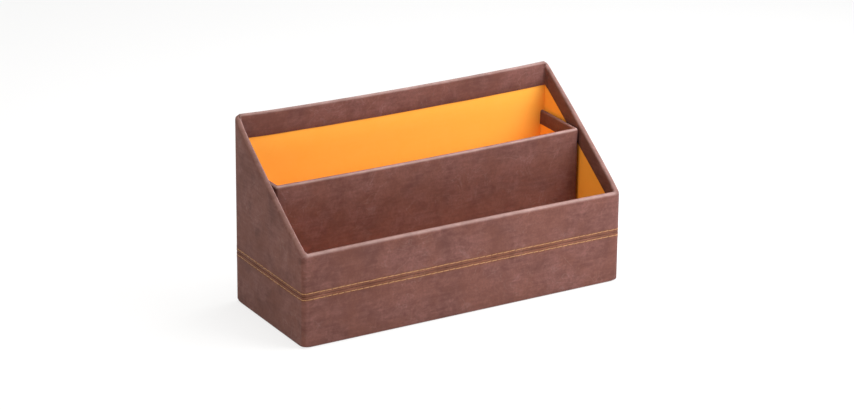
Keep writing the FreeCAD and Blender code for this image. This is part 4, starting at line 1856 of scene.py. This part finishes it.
@dataclass
class Studio:
    """Camera, floor, surroundings and lights of the photograph."""

    camera_place: tuple[float, float, float] = (-984.53, -1650.74, 790.45)
    azimuth: float = -30.762
    elevation: float = 20.713
    roll: float = 0.662
    lens: float = 125.396
    sensor: float = 36.0
    clip: tuple[float, float] = (0.1, 20.0)
    floor_size: float = 9000.0
    floor_drop: float = 0.05
    clear_reach: float = 0.4
    floor_glow: float = 0.76
    floor_tone: float = 0.88
    surround: float = 0.18
    lights: tuple[SoftBox, ...] = (
        SoftBox("front_light", (316.0, -376.0, 404.0), 400.0, 2.7),
        SoftBox("right_light", (380.0, -67.0, 520.0), 700.0, 5.2),
        SoftBox("left_fill", (-1589.0, -578.0, 676.0), 1100.0, 9.5, (1.0, 0.81, 0.54)),
        SoftBox("top_light", (0.0, 0.0, 1660.0), 1000.0, 18.0),
    )

    def build(self) -> None:
        """Set the studio up."""
        self._camera()
        self._floor()
        self._surround()
        for light in self.lights:
            light.hang()
        bpy.context.scene.view_settings.view_transform = "Standard"

    def _camera(self) -> None:
        """Camera at the photograph's viewpoint."""
        azimuth, elevation, roll = (
            math.radians(angle) for angle in (self.azimuth, self.elevation, self.roll)
        )
        back = Vector(
            (
                math.sin(azimuth) * math.cos(elevation),
                -math.cos(azimuth) * math.cos(elevation),
                math.sin(elevation),
            )
        )
        right = Vector((math.cos(azimuth), math.sin(azimuth), 0.0))
        up = back.cross(right)
        turned_right = right * math.cos(roll) + up * math.sin(roll)
        turned_up = up * math.cos(roll) - right * math.sin(roll)
        axes = Matrix((turned_right, turned_up, back)).transposed()
        data = bpy.data.cameras.new("camera")
        data.sensor_width = self.sensor
        data.lens = self.lens
        data.clip_start, data.clip_end = self.clip
        camera = bpy.data.objects.new("camera", data)
        bpy.context.scene.collection.objects.link(camera)
        camera.matrix_world = Matrix.Translation(Vector(self.camera_place) * MM) @ axes.to_4x4()
        bpy.context.scene.camera = camera

    def _floor(self) -> None:
        """Pale floor that looks near white, with the object's shadow.

        It is clear from below, and to the rays that the underside sends close over it.
        """
        bpy.ops.object.select_all(action="DESELECT")
        bpy.ops.mesh.primitive_plane_add(
            size=self.floor_size * MM, location=(0.0, 0.0, -self.floor_drop * MM)
        )
        floor = bpy.context.object
        floor.name = floor.data.name = "floor"
        material = bpy.data.materials.new("pale_floor")
        material.use_nodes = True
        nodes, links = material.node_tree.nodes, material.node_tree.links
        nodes.clear()
        path = nodes.new("ShaderNodeLightPath")
        seen = self._seen(nodes, links, path)
        matt = nodes.new("ShaderNodeBsdfDiffuse")
        matt.inputs["Color"].default_value = (self.floor_tone,) * 3 + (1.0,)
        glow = nodes.new("ShaderNodeEmission")
        share = nodes.new("ShaderNodeMath")
        share.operation = "MULTIPLY"
        share.inputs[1].default_value = self.floor_glow
        mix = nodes.new("ShaderNodeMixShader")
        clear = nodes.new("ShaderNodeBsdfTransparent")
        side = nodes.new("ShaderNodeNewGeometry")
        near = nodes.new("ShaderNodeMath")
        near.operation = "LESS_THAN"
        near.inputs[1].default_value = self.clear_reach * MM
        unseen = nodes.new("ShaderNodeMath")
        unseen.operation = "MAXIMUM"
        both = nodes.new("ShaderNodeMixShader")
        out = nodes.new("ShaderNodeOutputMaterial")
        links.new(seen, share.inputs[0])
        links.new(share.outputs[0], mix.inputs[0])
        links.new(matt.outputs[0], mix.inputs[1])
        links.new(glow.outputs[0], mix.inputs[2])
        links.new(path.outputs["Ray Length"], near.inputs[0])
        links.new(side.outputs["Backfacing"], unseen.inputs[0])
        links.new(near.outputs[0], unseen.inputs[1])
        links.new(unseen.outputs[0], both.inputs[0])
        links.new(mix.outputs[0], both.inputs[1])
        links.new(clear.outputs[0], both.inputs[2])
        links.new(both.outputs[0], out.inputs["Surface"])
        floor.data.materials.append(material)

    @staticmethod
    def _seen(
        nodes: bpy.types.Nodes, links: bpy.types.NodeLinks, path: bpy.types.Node
    ) -> bpy.types.NodeSocket:
        """1 for a ray that the camera, a reflection or a clear body sends, else 0."""
        total = path.outputs["Is Camera Ray"]
        for name in ("Is Glossy Ray", "Is Transmission Ray"):
            either = nodes.new("ShaderNodeMath")
            either.operation = "MAXIMUM"
            links.new(total, either.inputs[0])
            links.new(path.outputs[name], either.inputs[1])
            total = either.outputs[0]
        return total

    def _surround(self) -> None:
        """World that lights softly and shows white."""
        world = bpy.data.worlds.new("studio")
        bpy.context.scene.world = world
        world.use_nodes = True
        nodes, links = world.node_tree.nodes, world.node_tree.links
        nodes.clear()
        soft = nodes.new("ShaderNodeBackground")
        soft.inputs["Strength"].default_value = self.surround
        white = nodes.new("ShaderNodeBackground")
        path = nodes.new("ShaderNodeLightPath")
        mix = nodes.new("ShaderNodeMixShader")
        out = nodes.new("ShaderNodeOutputWorld")
        for node in (soft, white):
            node.inputs["Color"].default_value = (*WHITE, 1.0)
        white.inputs["Strength"].default_value = 1.0
        links.new(self._seen(nodes, links, path), mix.inputs[0])
        links.new(soft.outputs[0], mix.inputs[1])
        links.new(white.outputs[0], mix.inputs[2])
        links.new(mix.outputs[0], out.inputs["Surface"])


def corners(bounds: tuple[Vector, Vector]) -> list[list[float]]:
    """Lowest and highest corner as plain lists."""
    return [[round(value, 6) for value in corner] for corner in bounds]


def main() -> None:
    """Build and dress every piece round the frame."""
    logging.basicConfig(level=logging.INFO, format="%(name)s: %(message)s")
    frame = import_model()
    case, insert = CaseSizes.from_frame(), InsertSizes.from_frame()
    bow, stitching = Bow(case, insert), Stitching()
    finishes = Finishes()

    dressed = [(piece, Slot.LEATHERETTE) for piece in CaseLeather(case, bow, stitching).build()]
    dressed += [(piece, Slot.THREAD) for piece in StitchRows(case, bow, stitching).build()]
    for piece in [*CaseWalls(case, bow).build(), *Insert(case, insert, bow).build()]:
        dressed.append((piece, Slot(piece["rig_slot"])))
    kept = {"floor_lining": Slot.LINING, "underside_sheet": Slot.UNDERSIDE}
    dressed += [(frame["nodes"][node], slot) for node, slot in kept.items()]
    for piece, slot in dressed:
        finishes.dress(piece, slot)
    Studio().build()


if __name__ == "__main__":
    main()
